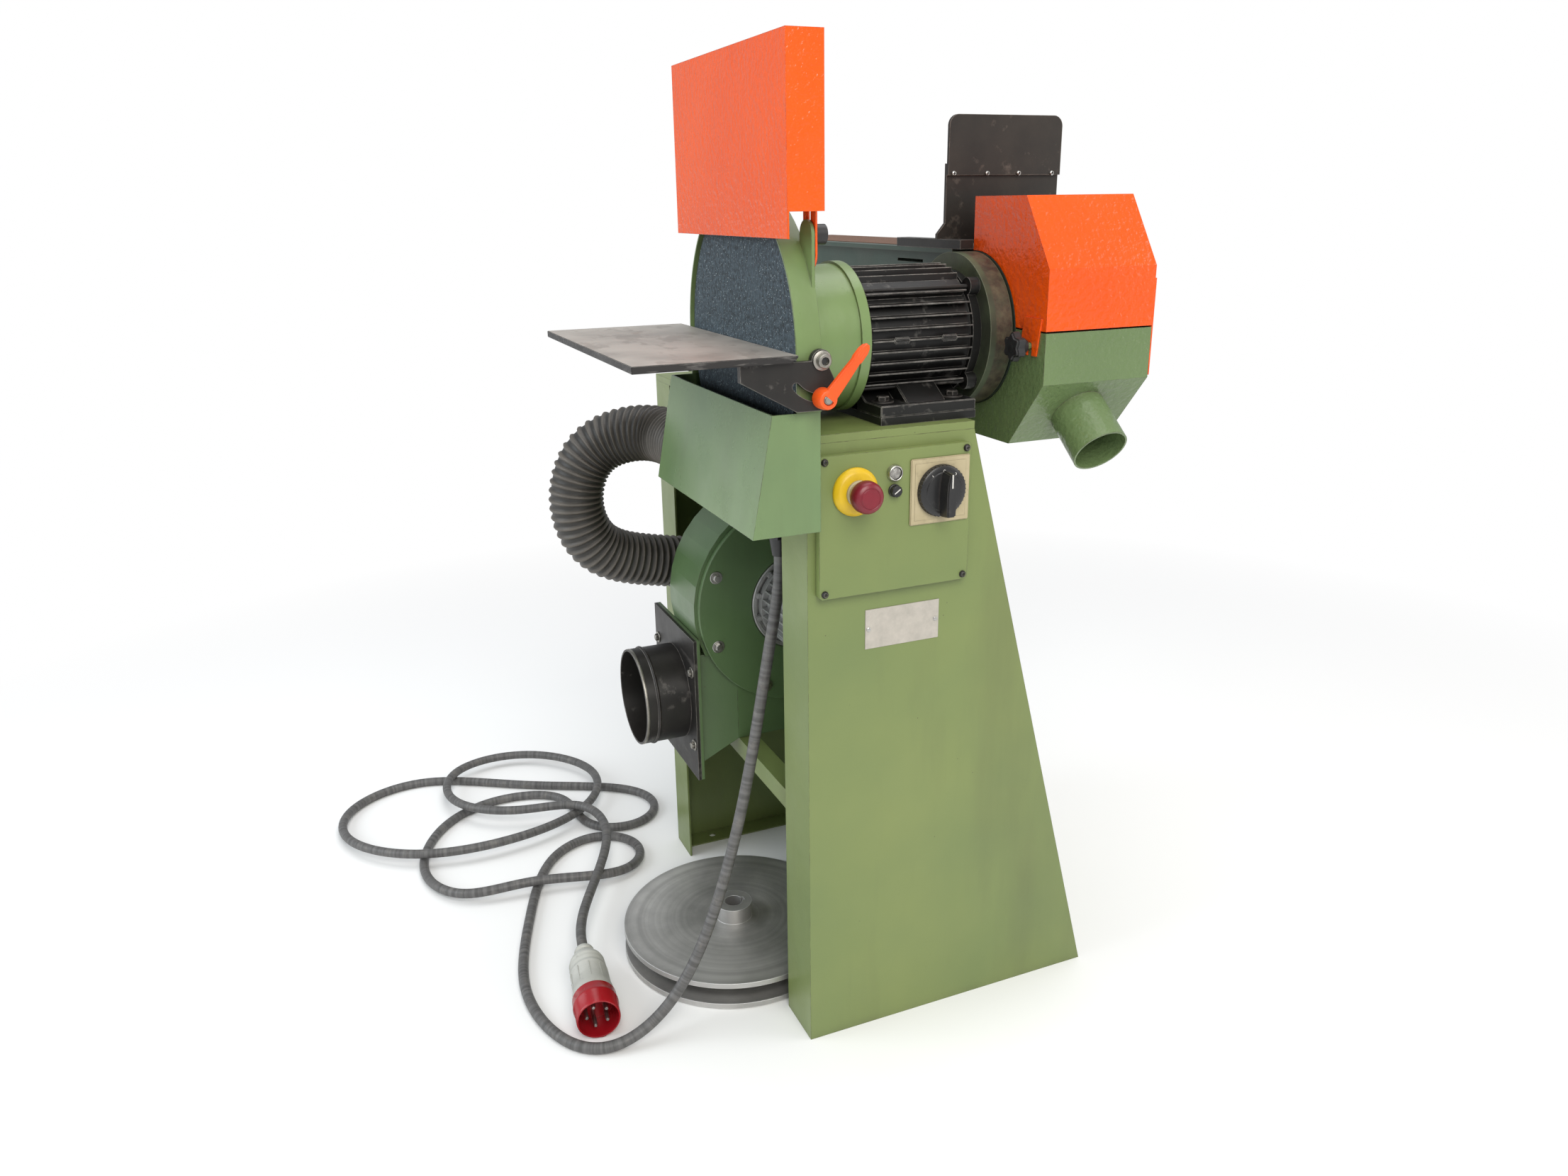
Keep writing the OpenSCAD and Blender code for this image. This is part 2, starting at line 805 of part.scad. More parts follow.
module fuse_cap() color("black") facing(lamp_x, fuse_z) {
    difference() {
        cylinder(r = fuse_r, h = fuse_l);
        translate([-fuse_r - overrun, -overrun / 2, fuse_l - 2 * overrun])
            cube([2 * (fuse_r + overrun), overrun, 3 * overrun]);
    }
}
module switch_plate() color("wheat") {
    translate([switch_x - switch_side / 2, 0, switch_z - switch_side / 2])
        plate_y(panel_y - switch_t, switch_t) rounded_rect(switch_side, switch_side, switch_round);
}
module switch_knob() color("black") facing(switch_x, switch_z, panel_y - switch_t - free_gap) {
    cylinder(r1 = knob_r, r2 = knob_r - 1, h = knob_skirt);
    intersection() {
        cylinder(r1 = knob_r, r2 = knob_top_r, h = knob_l);
        translate([-knob_grip_t / 2, -knob_r, 0]) cube([knob_grip_t, 2 * knob_r, knob_l]);
    }
    cylinder(r = knob_r * 0.55, h = knob_l * 0.6);
}

// Motor
foot_mid_x = frame_x + frame_l / 2;
foot_start_x = foot_mid_x - foot_l / 2;
bolt_places = [for (x = [-1, 1], y = [-1, 1])
    [foot_mid_x + x * foot_pitch_x / 2, axis_y + y * foot_pitch_y / 2]];
module motor_base() color("darkseagreen") {
    difference() {
        translate([foot_start_x, axis_y - foot_span / 2, stand_h]) cube([foot_l, foot_span, base_plate_t]);
        for (p = bolt_places) translate([p[0], p[1], stand_h - overrun])
            cylinder(r = foot_bolt_r + screw_gap, h = base_plate_t + 2 * overrun);
    }
}
module fin_ring(root_r, height, count, skip_low, skip_high) {
    for (i = [0 : count - 1]) {
        a = 360 * i / count;
        if (a < skip_low || a > skip_high) rotate(a)
            polygon([
                [root_r - fin_root_t, -fin_root_t / 2], [root_r + height, -fin_tip_t / 2],
                [root_r + height, fin_tip_t / 2], [root_r - fin_root_t, fin_root_t / 2]
            ]);
    }
}
module motor_foot(side) {
    inner = foot_span / 2 - foot_w;
    foot_z = stand_h + base_plate_t;
    plate_x(foot_start_x, foot_l) polygon([
        [axis_y + side * foot_span / 2, foot_z], [axis_y + side * foot_span / 2, foot_z + foot_t],
        [axis_y + side * inner, foot_z + foot_t], [axis_y + side * inner * 0.6, foot_z + foot_t * 2],
        [axis_y + side * inner * 0.6, foot_z]
    ]);
}
module motor_frame() color("darkseagreen") {
    difference() {
        union() {
            plate_x(frame_x, frame_l) translate([axis_y, axis_z]) {
                circle(r = frame_r);
                fin_ring(frame_r, fin_h, fin_count, feet_from, feet_to);
            }
            for (side = [-1, 1]) motor_foot(side);
            for (x = boss_shares)
                along_x(frame_x + x * frame_l, axis_y - fin_tip_r * boss_out_share, axis_z + fin_tip_r * boss_up_share)
                    cylinder(r = fin_boss_r, h = fin_boss_l);
        }
        along_x(frame_x - overrun) cylinder(r = shaft_bore_r, h = frame_l + 2 * overrun);
        for (p = bolt_places) translate([p[0], p[1], stand_h])
            cylinder(r = foot_bolt_r + screw_gap, h = base_plate_t + foot_t + frame_r / 2);
    }
}
module motor_shields() color("darkseagreen") {
    difference() {
        union() {
            along_x(frame_x - left_shield_t) cylinder(r = shield_r, h = left_shield_t);
            along_x(frame_end_x) cylinder(r1 = shield_r, r2 = shield_r - shield_draft, h = right_shield_t);
            for (a = [45 : 90 : 315]) translate([0, axis_y + lug_ring_r * cos(a), axis_z + lug_ring_r * sin(a)])
                translate([frame_end_x, 0, 0]) rotate([0, 90, 0]) cylinder(r = lug_r, h = right_shield_t);
        }
        along_x(frame_x - left_shield_t - overrun)
            cylinder(r = shaft_r + running_fit, h = frame_l + left_shield_t + right_shield_t + 2 * overrun);
    }
}
module terminal_box() color("darkseagreen") {
    y = axis_y + fin_tip_r - box_lid_t;
    difference() {
        translate([foot_mid_x - box_l / 2, y, axis_z]) cube([box_l, box_h, box_w]);
        along_x(frame_x - overrun) cylinder(r = fin_tip_r, h = frame_l + 2 * overrun);
    }
    translate([foot_mid_x - box_l / 2 - overrun, y + box_h, axis_z - overrun])
        cube([box_l + 2 * overrun, box_lid_t, box_w + 2 * overrun]);
}
module foot_bolts() color("silver") {
    for (p = bolt_places) translate([p[0], p[1], stand_h + base_plate_t + foot_t]) {
        hex_bolt(foot_bolt_head_r, foot_bolt_head_h);
        translate([0, 0, -foot_t - base_plate_t]) cylinder(r = foot_bolt_r, h = foot_t + base_plate_t);
    }
}
module rotor_shaft() color("silver") {
    start = disc_back_x;
    finish = belt_x + belt_w;
    along_x(start) cylinder(r = shaft_r, h = finish - start);
}

// Disc end
module drum() color("darkseagreen") {
    rim_start = drum_l - drum_rim_l;
    along_x(drum_x) rotate_extrude() polygon([
        [hub_bore_r, 0], [drum_neck_r, 0], [drum_d / 2 - drum_rim_step, rim_start], [drum_d / 2, rim_start],
        [drum_d / 2, drum_l], [frame_r - drum_wall, drum_l], [drum_neck_r - drum_wall, drum_wall],
        [hub_bore_r, drum_wall]
    ]);
}
module housing_outline(r, low) {
    translate([axis_y, axis_z]) circle(r = r, $fn = 96);
    translate([axis_y - r, low]) square([2 * r, axis_z - low]);
}
module housing_ear(side) {
    mid = axis_y + side * (guard_half_w - guard_leg_inset - guard_leg_w / 2);
    translate([mid - guard_leg_w / 2, axis_z]) square([guard_leg_w, guard_knob_z - axis_z]);
    translate([mid, guard_knob_z]) circle(r = guard_leg_w / 2);
}
module disc_housing() color("darkseagreen") {
    difference() {
        union() {
            plate_x(housing_front_x, housing_w) housing_outline(housing_r, chute_top_z);
            plate_x(drum_x - back_plate_t, back_plate_t) for (side = [-1, 1]) housing_ear(side);
        }
        plate_x(housing_front_x - overrun, housing_w - back_plate_t + overrun)
            housing_outline(housing_in_r, chute_top_z - overrun);
        along_x(drum_x - back_plate_t - overrun) cylinder(r = hub_bore_r, h = back_plate_t + 2 * overrun);
        for (side = [-1, 1]) translate([pivot_x, axis_y + side * housing_r, pivot_z]) rotate([90, 0, 0])
            cylinder(r = pivot_r, h = 4 * housing_sheet, center = true);
        translate([housing_front_x - overrun, axis_y - housing_r, chute_top_z - housing_r])
            cube([housing_w + 2 * overrun, 2 * housing_r, housing_r]);
    }
}
module round_disc(t, r) {
    rotate_extrude($fn = 96) polygon([
        [0, 0], [r - disc_edge_round, 0], [r, disc_edge_round], [r, t], [0, t]
    ]);
}
module disc_plate() color("silver") {
    difference() {
        union() {
            along_x(disc_face_x + abrasive_t) round_disc(disc_t, disc_d / 2);
            along_x(disc_back_x) cylinder(r = hub_d / 2, h = hub_l);
        }
        along_x(disc_back_x) cylinder(r = shaft_r, h = hub_l + overrun);
    }
}
module abrasive_disc() color("saddlebrown") {
    along_x(disc_face_x) cylinder(r = disc_d / 2 - disc_edge_round, h = abrasive_t, $fn = 96);
}

// Guard that slides down over the disc
module guard_leg(side) {
    mid = axis_y + side * (guard_half_w - guard_leg_inset - guard_leg_w / 2);
    low = guard_low_z - guard_leg_drop + guard_leg_w / 2;
    difference() {
        union() {
            translate([mid - guard_leg_w / 2, low]) square([guard_leg_w, guard_top_z - low - guard_bend_r]);
            translate([mid, low]) circle(r = guard_leg_w / 2);
        }
        for (z = [0, guard_travel]) translate([mid, guard_knob_z + z]) circle(r = guard_stud_r + screw_gap);
        translate([mid - guard_stud_r - screw_gap, guard_knob_z])
            square([2 * (guard_stud_r + screw_gap), guard_travel]);
    }
}
module guard() color("orangered") {
    depth = guard_back_x + guard_sheet - guard_front_x;
    side_low = guard_low_z + guard_side_rise;
    y0 = axis_y - guard_half_w;
    w = 2 * guard_half_w;
    plate_x(guard_front_x, guard_sheet)
        translate([y0, guard_low_z]) square([w, guard_h]);
    for (y = [y0, y0 + w - guard_sheet])
        translate([guard_front_x, y, side_low]) cube([depth, guard_sheet, guard_top_z - side_low]);
    translate([guard_front_x, y0, guard_top_z - guard_sheet]) cube([depth, w, guard_sheet]);
    plate_x(guard_back_x, guard_sheet) {
        for (side = [-1, 1]) guard_leg(side);
        translate([y0, guard_top_z - guard_leg_w]) square([w, guard_leg_w]);
    }
}
module guard_knobs() color("black") {
    for (side = [-1, 1]) {
        mid = axis_y + side * (guard_half_w - guard_leg_inset - guard_leg_w / 2);
        along_x(drum_x, mid, guard_knob_z) {
            cylinder(r = guard_stud_r, h = guard_sheet + 2 * overrun);
            translate([0, 0, guard_sheet + overrun]) cylinder(r = guard_knob_r, h = guard_knob_l);
        }
    }
}

// Table
module table() color("silver") {
    inner_x = table_x + table_rib_t;
    plate_y(table_y, table_w) polygon([
        [table_x, table_top_z - table_t], [table_end_x - table_bevel, table_top_z - table_t],
        [table_end_x, table_top_z - table_bevel / 3], [table_end_x, table_top_z], [table_x, table_top_z]
    ]);
    for (y = [table_y + table_rib_t, axis_y - table_rib_t / 2, table_y + table_w - 2 * table_rib_t])
        translate([inner_x, y, table_top_z - table_t - table_rib_h])
            cube([table_d - table_rib_inset - table_rib_t, table_rib_t, table_rib_h]);
    translate([table_x, table_y, table_top_z - table_t - table_rib_h])
        cube([table_rib_t, table_w, table_rib_h]);
}
// Slot along an arc, with round ends
module arc_slot(r, half_w, from, to) {
    start = r * [cos(from), sin(from)];
    finish = r * [cos(to), sin(to)];
    polygon(concat(
        arc([0, 0], r + half_w, from, to, arc_steps),
        arc(finish, half_w, to + end_step, to + 180 - end_step, end_steps),
        arc([0, 0], r - half_w, to, from, arc_steps),
        arc(start, half_w, from + 180 + end_step, from + 360 - end_step, end_steps)));
}
module trunnion_outline() {
    under = table_top_z - table_t;
    polygon([
        [pivot_x - trunnion_reach, under], [pivot_x - trunnion_reach, under - trunnion_heel],
        [pivot_x - trunnion_foot_l, pivot_z - trunnion_drop], [pivot_x + stud_r, pivot_z - trunnion_drop],
        [pivot_x + trunnion_ear_r + stud_r, pivot_z - trunnion_drop * trunnion_waist_share],
        [pivot_x + pivot_r, pivot_z],
        [table_end_x, pivot_z], [table_end_x - table_bevel, under]
    ]);
    translate([pivot_x, pivot_z]) circle(r = trunnion_ear_r);
}
module trunnion(y) {
    plate_y(y, trunnion_t) difference() {
        trunnion_outline();
        translate([pivot_x, pivot_z]) {
            circle(r = pivot_r + running_fit);
            arc_slot(slot_r, stud_r + screw_gap, -90 - tilt_max - slot_extra, -90 + slot_extra);
        }
    }
}
far_trunnion_y = 2 * axis_y - trunnion_y - trunnion_t;
module trunnions() color("silver") {
    trunnion(trunnion_y);
    trunnion(far_trunnion_y);
}
pivot_head_h = 5;
module pivot_bolt(side) {
    reach = housing_in_r;
    length = trunnion_t + trunnion_gap + housing_sheet;
    translate([0, axis_y + side * reach, 0]) rotate([side < 0 ? 90 : -90, 0, 0]) {
        translate([pivot_x, side < 0 ? pivot_z : -pivot_z, 0]) {
            cylinder(r = pivot_r, h = length);
            translate([0, 0, length]) cylinder(r = pivot_r * 1.6, h = pivot_head_h);
            translate([0, 0, housing_sheet]) cylinder(r = pivot_r * 1.8, h = trunnion_gap - free_gap);
        }
        translate([pivot_x, side < 0 ? pivot_z - slot_r : -(pivot_z - slot_r), housing_sheet]) {
            cylinder(r = stud_r, h = trunnion_gap + trunnion_t + washer_t + lever_hub_l - overrun);
            translate([0, 0, trunnion_gap + trunnion_t + free_gap]) cylinder(r = washer_r, h = washer_t - free_gap);
        }
    }
}
module pivot_bolts() color("dimgray") {
    pivot_bolt(-1);
    pivot_bolt(1);
}
// Levers that clamp the table's tilt
lever_y = trunnion_y - washer_t;
module lever_outline() {
    finish = lever_arm - lever_tip_r;
    polygon(concat(
        arc([0, 0], lever_root_r, 90, 270, arc_steps),
        arc([finish, 0], lever_tip_r, -90, 90, arc_steps)));
}
module lever_body() {
    difference() {
        union() {
            cylinder(r1 = lever_hub_r, r2 = lever_hub_r * 0.85, h = lever_hub_l);
            rotate([0, 0, lever_angle]) translate([0, 0, lever_hub_l - lever_t + lever_rise]) linear_extrude(lever_t)
                lever_outline();
        }
        translate([0, 0, -overrun]) cylinder(r = stud_r + running_fit, h = lever_hub_l);
    }
}
module clamp_lever() color("orangered") {
    translate([pivot_x, lever_y, pivot_z - slot_r]) rotate([90, 0, 0]) lever_body();
}
module rear_clamp_lever() color("orangered") {
    translate([pivot_x, 2 * axis_y - lever_y, pivot_z - slot_r]) rotate([-90, 0, 0])
        mirror([0, 1, 0]) lever_body();
}

// Chute under the disc
module chute_outline(inset, rise) {
    lean = (chute_low_reach - chute_top_reach) / chute_h;
    top = chute_top_z + rise;
    polygon([
        [drum_x - inset - overrun, chute_z + inset], [drum_x - chute_low_reach + inset, chute_z + inset],
        [drum_x - chute_top_reach + inset + rise * lean, top], [drum_x - inset - overrun, top]
    ]);
}
module chute() color("darkseagreen") {
    y0 = axis_y - chute_w / 2;
    difference() {
        union() {
            plate_y(y0, chute_w) chute_outline(0, 0);
            translate([chute_spigot_x, y0 + chute_w, chute_spigot_z]) rotate([-90, 0, 0])
                cylinder(r = spigot_r, h = spigot_l);
        }
        plate_y(y0 + chute_sheet, chute_w - 2 * chute_sheet) chute_outline(chute_sheet, overrun);
        translate([chute_spigot_x, y0 + chute_w - chute_sheet - overrun, chute_spigot_z]) rotate([-90, 0, 0])
            cylinder(r = spigot_r - spigot_wall, h = spigot_l + chute_sheet + 2 * overrun);
    }
}
// Ribbed hose from the chute to the blower
function hose_turn(i) = [
    chute_spigot_x - hose_left_shares[i] * hose_d,
    axis_y + chute_w / 2 + hose_back_shares[i] * hose_d,
    elbow_end[2] + (chute_spigot_z - elbow_end[2]) * hose_drop_shares[i]];
hose_points = concat(
    [chute_end, chute_end + [0, hose_lead, 0]],
    [for (i = [0 : len(hose_drop_shares) - 1]) hose_turn(i)],
    [elbow_end + elbow_dir * hose_lead, elbow_end]);
hose_path = curve(hose_points, hose_steps);
function lengths(p, i = 0, sum = 0, seen = []) = i == len(p) ? seen
    : let (s = i == 0 ? 0 : sum + norm(p[i] - p[i - 1])) lengths(p, i + 1, s, concat(seen, [s]));
function at_length(p, run, s, i = 0) =
    i >= len(p) - 2 || run[i + 1] >= s
        ? p[i] + (p[i + 1] - p[i]) * (s - run[i]) / (run[i + 1] - run[i])
        : at_length(p, run, s, i + 1);
hose_run = lengths(hose_path);
hose_length = hose_run[len(hose_run) - 1];
hose_rings = 2 * hose_ribs;
hose_even = [for (i = [0 : hose_rings]) at_length(hose_path, hose_run, hose_length * i / hose_rings)];
hose_radii = [for (i = [0 : hose_rings]) i % 2 == 1 ? hose_r : hose_r - hose_groove];
echo(hose_length = hose_length);
module dust_hose() color("darkslategray") {
    hollow_sweep(hose_even, hose_radii, hose_r - hose_groove - hose_wall, hose_sides, [1, 0, 0]);
}

// Swivel ring and belt arm
module swivel_ring() color("darkseagreen") {
    along_x(ring_x) difference() {
        cylinder(r = ring_r, h = ring_w, $fn = 96);
        translate([0, 0, ring_plate_t]) cylinder(r = ring_r - ring_wall, h = ring_w, $fn = 96);
        translate([0, 0, -overrun]) cylinder(r = shaft_bore_r, h = ring_w);
    }
}
module arm_hub() color("dimgray") {
    start = ring_x + ring_plate_t + free_gap;
    along_x(start) difference() {
        cylinder(r = hub_r, h = arm_x - start, $fn = 96);
        translate([0, 0, -overrun]) cylinder(r = shaft_bore_r, h = arm_x - start + 2 * overrun);
        translate([0, 0, -overrun]) cylinder(r = hub_r - ring_wall, h = arm_x - start - ring_wall + overrun);
    }
}
arm_root_y = axis_y - ring_r * arm_root_y_share;
arm_root_z = axis_z - ring_r * arm_root_z_share;
arm_low_y = axis_y + ring_r;
arm_low_z = axis_z - ring_r * arm_low_z_share;
module arm_outline() {
    end_y = idler_y + arm_end_r;
    difference() {
        union() {
            translate([axis_y, axis_z]) circle(r = ring_r, $fn = 96);
            polygon([
                [axis_y + arm_top_lead, arm_top_z], [arm_root_y, arm_root_z], [arm_low_y, arm_low_z],
                [idler_y, idler_z - arm_low_drop], [end_y, idler_z - arm_low_drop * arm_end_share],
                [end_y, arm_top_z]
            ]);
        }
        translate([axis_y, axis_z]) circle(r = shaft_bore_r);
        translate([arm_slot_y, arm_top_z - 4 * arm_slot_w]) square([arm_slot_l, arm_slot_w]);
        for (y = [idler_y - slide_slot_l, idler_y]) translate([y, idler_z]) circle(r = idler_axle_r + screw_gap);
        translate([idler_y - slide_slot_l, idler_z - idler_axle_r - screw_gap])
            square([slide_slot_l, 2 * (idler_axle_r + screw_gap)]);
    }
}
platen_y = axis_y + platen_front;
platen_l = idler_y - platen_rear - platen_y;
module arm_frame() color("darkseagreen") {
    beam_w = belt_w - 2 * beam_inset;
    beam_z = belt_top_z - free_gap - platen_t - beam_h;
    plate_x(arm_x, arm_plate_t) arm_outline();
    difference() {
        translate([arm_x + arm_plate_t, platen_y, beam_z]) cube([beam_w, platen_l, beam_h]);
        translate([arm_x + arm_plate_t, platen_y + beam_wall, beam_z - overrun])
            cube([beam_w - beam_wall, platen_l - 2 * beam_wall, beam_h - beam_wall + overrun]);
    }
    translate([arm_x - rail_w, axis_y + rail_front, arm_top_z])
        cube([rail_w + arm_plate_t, idler_y - axis_y - rail_front, rail_t]);
    for (z = [-1, 1]) translate([arm_x - slide_t, idler_y - slide_l, idler_z + z * (slide_h / 2 + guide_t / 2)
        + z * free_gap - guide_t / 2]) cube([slide_t, slide_l + arm_end_r, guide_t]);
}
module platen() color("dimgray") {
    translate([belt_x, platen_y, belt_top_z - free_gap - platen_t]) cube([belt_w - beam_inset, platen_l, platen_t]);
}
module loop_outline(grow) {
    polygon(concat(
        arc([axis_y, axis_z], wheel_r + grow, 90, 270 + belt_angle, loop_steps),
        arc([idler_y, idler_z], idler_r + grow, belt_angle - 90, 90, loop_steps)));
}
module sanding_belt() color("sienna") {
    plate_x(belt_x, belt_w) difference() {
        loop_outline(belt_gap + belt_t);
        loop_outline(belt_gap);
    }
}
module contact_wheel() color("dimgray") {
    side = (belt_w - web_t) / 2;
    along_x(belt_x) rotate_extrude($fn = 96) polygon([
        [shaft_r, 0], [wheel_hub_r, 0], [wheel_hub_r, side], [wheel_r - rim_t, side], [wheel_r - rim_t, 0],
        [wheel_r, 0], [wheel_r, belt_w], [wheel_r - rim_t, belt_w], [wheel_r - rim_t, side + web_t],
        [wheel_hub_r, side + web_t], [wheel_hub_r, belt_w], [shaft_r, belt_w]
    ]);
}
module idler_wheel() color("silver") {
    along_x(belt_x, idler_y, idler_z) ring(idler_r, idler_axle_r + running_fit, belt_w - overrun);
}
module idler_slide() color("dimgray") {
    start = arm_x - slide_t;
    difference() {
        translate([start, idler_y - slide_l / 2, idler_z - slide_h / 2])
            cube([slide_t - free_gap, slide_l / 2 + arm_end_r, slide_h]);
        translate([start - overrun, idler_y - slide_l / 2 - overrun, idler_z - spring_r - overrun])
            cube([slide_t / 2, slide_l / 8, 2 * (spring_r + overrun)]);
    }
    along_x(start + slide_t / 2, idler_y, idler_z)
        cylinder(r = idler_axle_r, h = slide_t / 2 + arm_plate_t + belt_w + overrun * 4);
}
// Spring that pushes the idler slide away from the arm
function spring_point(t) = [spring_r * cos(360 * spring_coils * t), spring_r * sin(360 * spring_coils * t)];
spring_start_y = idler_y - slide_l / 2 - spring_l;
spring_path = [for (i = [0 : 8 * spring_coils]) let (t = i / (8 * spring_coils), p = spring_point(t))
    [p[0], p[1], spring_wire_r + t * (spring_l - 2 * spring_wire_r)]];
spring_pitch = (spring_l - 2 * spring_wire_r) / spring_coils;
echo(spring_gap = spring_pitch - 2 * spring_wire_r);
spring_x = arm_x - spring_r - 2 * spring_wire_r;
module tension_spring() color("silver") {
    translate([spring_x, spring_start_y, idler_z]) rotate([-90, 0, 0])
        sweep(spring_path, spring_wire_r, 6, [1, 0, 0]);
}
module tension_lever() color("black") {
    y = spring_start_y - anchor_l;
    translate([arm_x - 2 * spring_r - overrun, y, idler_z - spring_r]) difference() {
        cube([2 * spring_r + overrun, anchor_l, 2 * spring_r]);
        translate([-overrun, -overrun, -overrun]) cube([overrun, overrun, overrun]);
    }
    translate([arm_x - spring_r, y + anchor_l / 2, idler_z - spring_r]) rotate([0, -180, 0])
        cylinder(r1 = tension_lever_r * 0.7, r2 = tension_lever_r, h = tension_lever_l);
}
module tracking_knob() color("black") {
    along_x(arm_x - slide_t - tracking_knob_l, idler_y + arm_end_r / 2, idler_z) {
        cylinder(r = tracking_knob_r, h = tracking_knob_l - free_gap, $fn = 12);
    }
}

// Hoods over the contact wheel
// Strip of sheet that follows a line, laid to the left of it
function normal_of(a, b) = let (d = unit(b - a)) [-d[1], d[0]];
function mitred(p, i, t) =
    let (before = normal_of(p[max(i - 1, 0)], p[max(i, 1)]),
        after = normal_of(p[min(i, len(p) - 2)], p[min(i + 1, len(p) - 1)]), m = unit(before + after))
        p[i] + m * t / (m * before);
module strip(p, t) {
    polygon(concat(p, [for (i = [len(p) - 1 : -1 : 0]) mitred(p, i, t)]));
}
upper_line = [
    [hood_rear_y, hood_top_z], [hood_top_y, hood_top_z], [hood_front_y, hood_shoulder_z],
    [hood_front_y, hood_seam_z + hood_seam_gap]
];
lower_line = [
    [hood_front_y, hood_seam_z], [hood_front_y, low_knee_z], [low_slope_y, low_floor_z],
    [low_rear_y - low_lip, low_floor_z], [low_rear_y, low_rear_z]
];
module wheel_room() {
    translate([axis_y, axis_z]) circle(r = hood_arc_r, $fn = 96);
    polygon([
        [arm_root_y, arm_root_z - overrun], [arm_low_y, arm_low_z - overrun],
        [low_rear_y + overrun, arm_low_z - overrun], [low_rear_y + overrun, hood_seam_z + overrun],
        [axis_y, hood_seam_z + overrun]
    ]);
}
module hood_walls(line, corners) {
    plate_x(arm_x, hood_sheet) difference() {
        polygon(concat(line, corners));
        wheel_room();
    }
    plate_x(arm_x + hood_w - hood_sheet, hood_sheet) polygon(concat(line, corners));
}
module hood_tab() {
    difference() {
        polygon([
            [tab_y, tab_top_z], [tab_y + tab_w * tab_top_share, tab_top_z], [tab_y + tab_w, tab_low_z],
            [tab_y + tab_w * (1 - tab_top_share), tab_low_z]
        ]);
        translate([hood_stud_y, hood_stud_z]) circle(r = hood_stud_r + screw_gap);
        translate([hood_stud_y - hood_stud_r - screw_gap, tab_low_z - overrun])
            square([2 * (hood_stud_r + screw_gap), hood_stud_z - tab_low_z + overrun]);
    }
}
module upper_hood() color("orangered") {
    hood_walls(upper_line, [[hood_rear_y, hood_seam_z + hood_seam_gap]]);
    plate_x(arm_x, hood_w) strip(upper_line, hood_sheet);
    plate_x(arm_x - tab_t, tab_t) hood_tab();
    translate([arm_x + hood_w, hood_front_y, side_strap_z]) cube([tab_t, side_strap_w, side_strap_h]);
}
spout_tilt = atan((low_knee_z - low_floor_z) / (low_slope_y - hood_front_y));
spout_mid = [arm_x + hood_w / 2, (hood_front_y + low_slope_y) / 2, (low_knee_z + low_floor_z) / 2];
module spout_place() {
    translate(spout_mid) rotate([180 - spout_tilt, 0, 0]) children();
}
module lower_hood() color("darkseagreen") {
    hood_walls(lower_line, [[low_rear_y, axis_z - ring_r], [axis_y, hood_seam_z]]);
    difference() {
        plate_x(arm_x, hood_w) strip(lower_line, hood_sheet);
        spout_place() translate([0, 0, -2 * hood_sheet])
            cylinder(r = (spout_d - spout_wall) / 2, h = 3 * hood_sheet);
    }
    spout_place() translate([0, 0, -hood_sheet])
        ring(spout_d / 2, spout_d / 2 - spout_wall, spout_l + hood_sheet);
    along_x(arm_x - tab_t - star_gap, hood_stud_y, hood_stud_z) cylinder(r = hood_stud_r, h = tab_t + star_gap);
}
module hood_knob() color("black") {
    along_x(arm_x - tab_t - star_gap - star_knob_l, hood_stud_y, hood_stud_z) {
        difference() {
            union() {
                cylinder(r = star_knob_r * 0.72, h = star_knob_l * 0.6);
                for (a = [0 : 60 : 300]) rotate(a) translate([star_knob_r * 0.68, 0, 0])
                    cylinder(r = star_knob_r * 0.32, h = star_knob_l * 0.6);
                cylinder(r = star_neck_r, h = star_knob_l + star_gap - free_gap);
            }
            translate([0, 0, star_knob_l]) cylinder(r = hood_stud_r + running_fit, h = star_gap + overrun);
        }
    }
}

// Work stop
stop_z = belt_top_z + belt_t + stop_gap;
bar_x = arm_x - rail_w;
bar_z = arm_top_z + rail_t;
module stop_bar() color("dimgray") {
    difference() {
        translate([bar_x, axis_y + stop_bar_front, bar_z]) cube([rail_w, stop_bar_l, stop_bar_t]);
        translate([bar_x + rail_w / 2, axis_y + stop_bar_front + stop_bar_l - 3 * stop_bar_t, bar_z - overrun])
            cylinder(r = stop_bar_t / 4, h = stop_bar_t + 2 * overrun);
    }
}
module work_stop() color("lightgray") {
    x = arm_x - stop_left;
    joint_z = stop_z + stop_low_h;
    bar_top_z = bar_z + stop_bar_t;
    plate_y(stop_y, stop_t) polygon([
        [bar_x, bar_top_z], [arm_x, bar_top_z], [arm_x, stop_z], [x + stop_w, stop_z],
        [x + stop_w, joint_z + stop_lap], [x, joint_z + stop_lap], [x, bar_top_z + stop_foot_h],
        [bar_x, bar_top_z + stop_weld_h]
    ]);
    plate_y(stop_y - stop_t, stop_t) translate([x, joint_z]) {
        square([stop_w, stop_high_h - stop_corner_r]);
        translate([stop_corner_r, stop_high_h - stop_corner_r])
            square([stop_w - 2 * stop_corner_r, stop_corner_r]);
        for (sx = [stop_corner_r, stop_w - stop_corner_r])
            translate([sx, stop_high_h - stop_corner_r]) circle(r = stop_corner_r);
    }
}

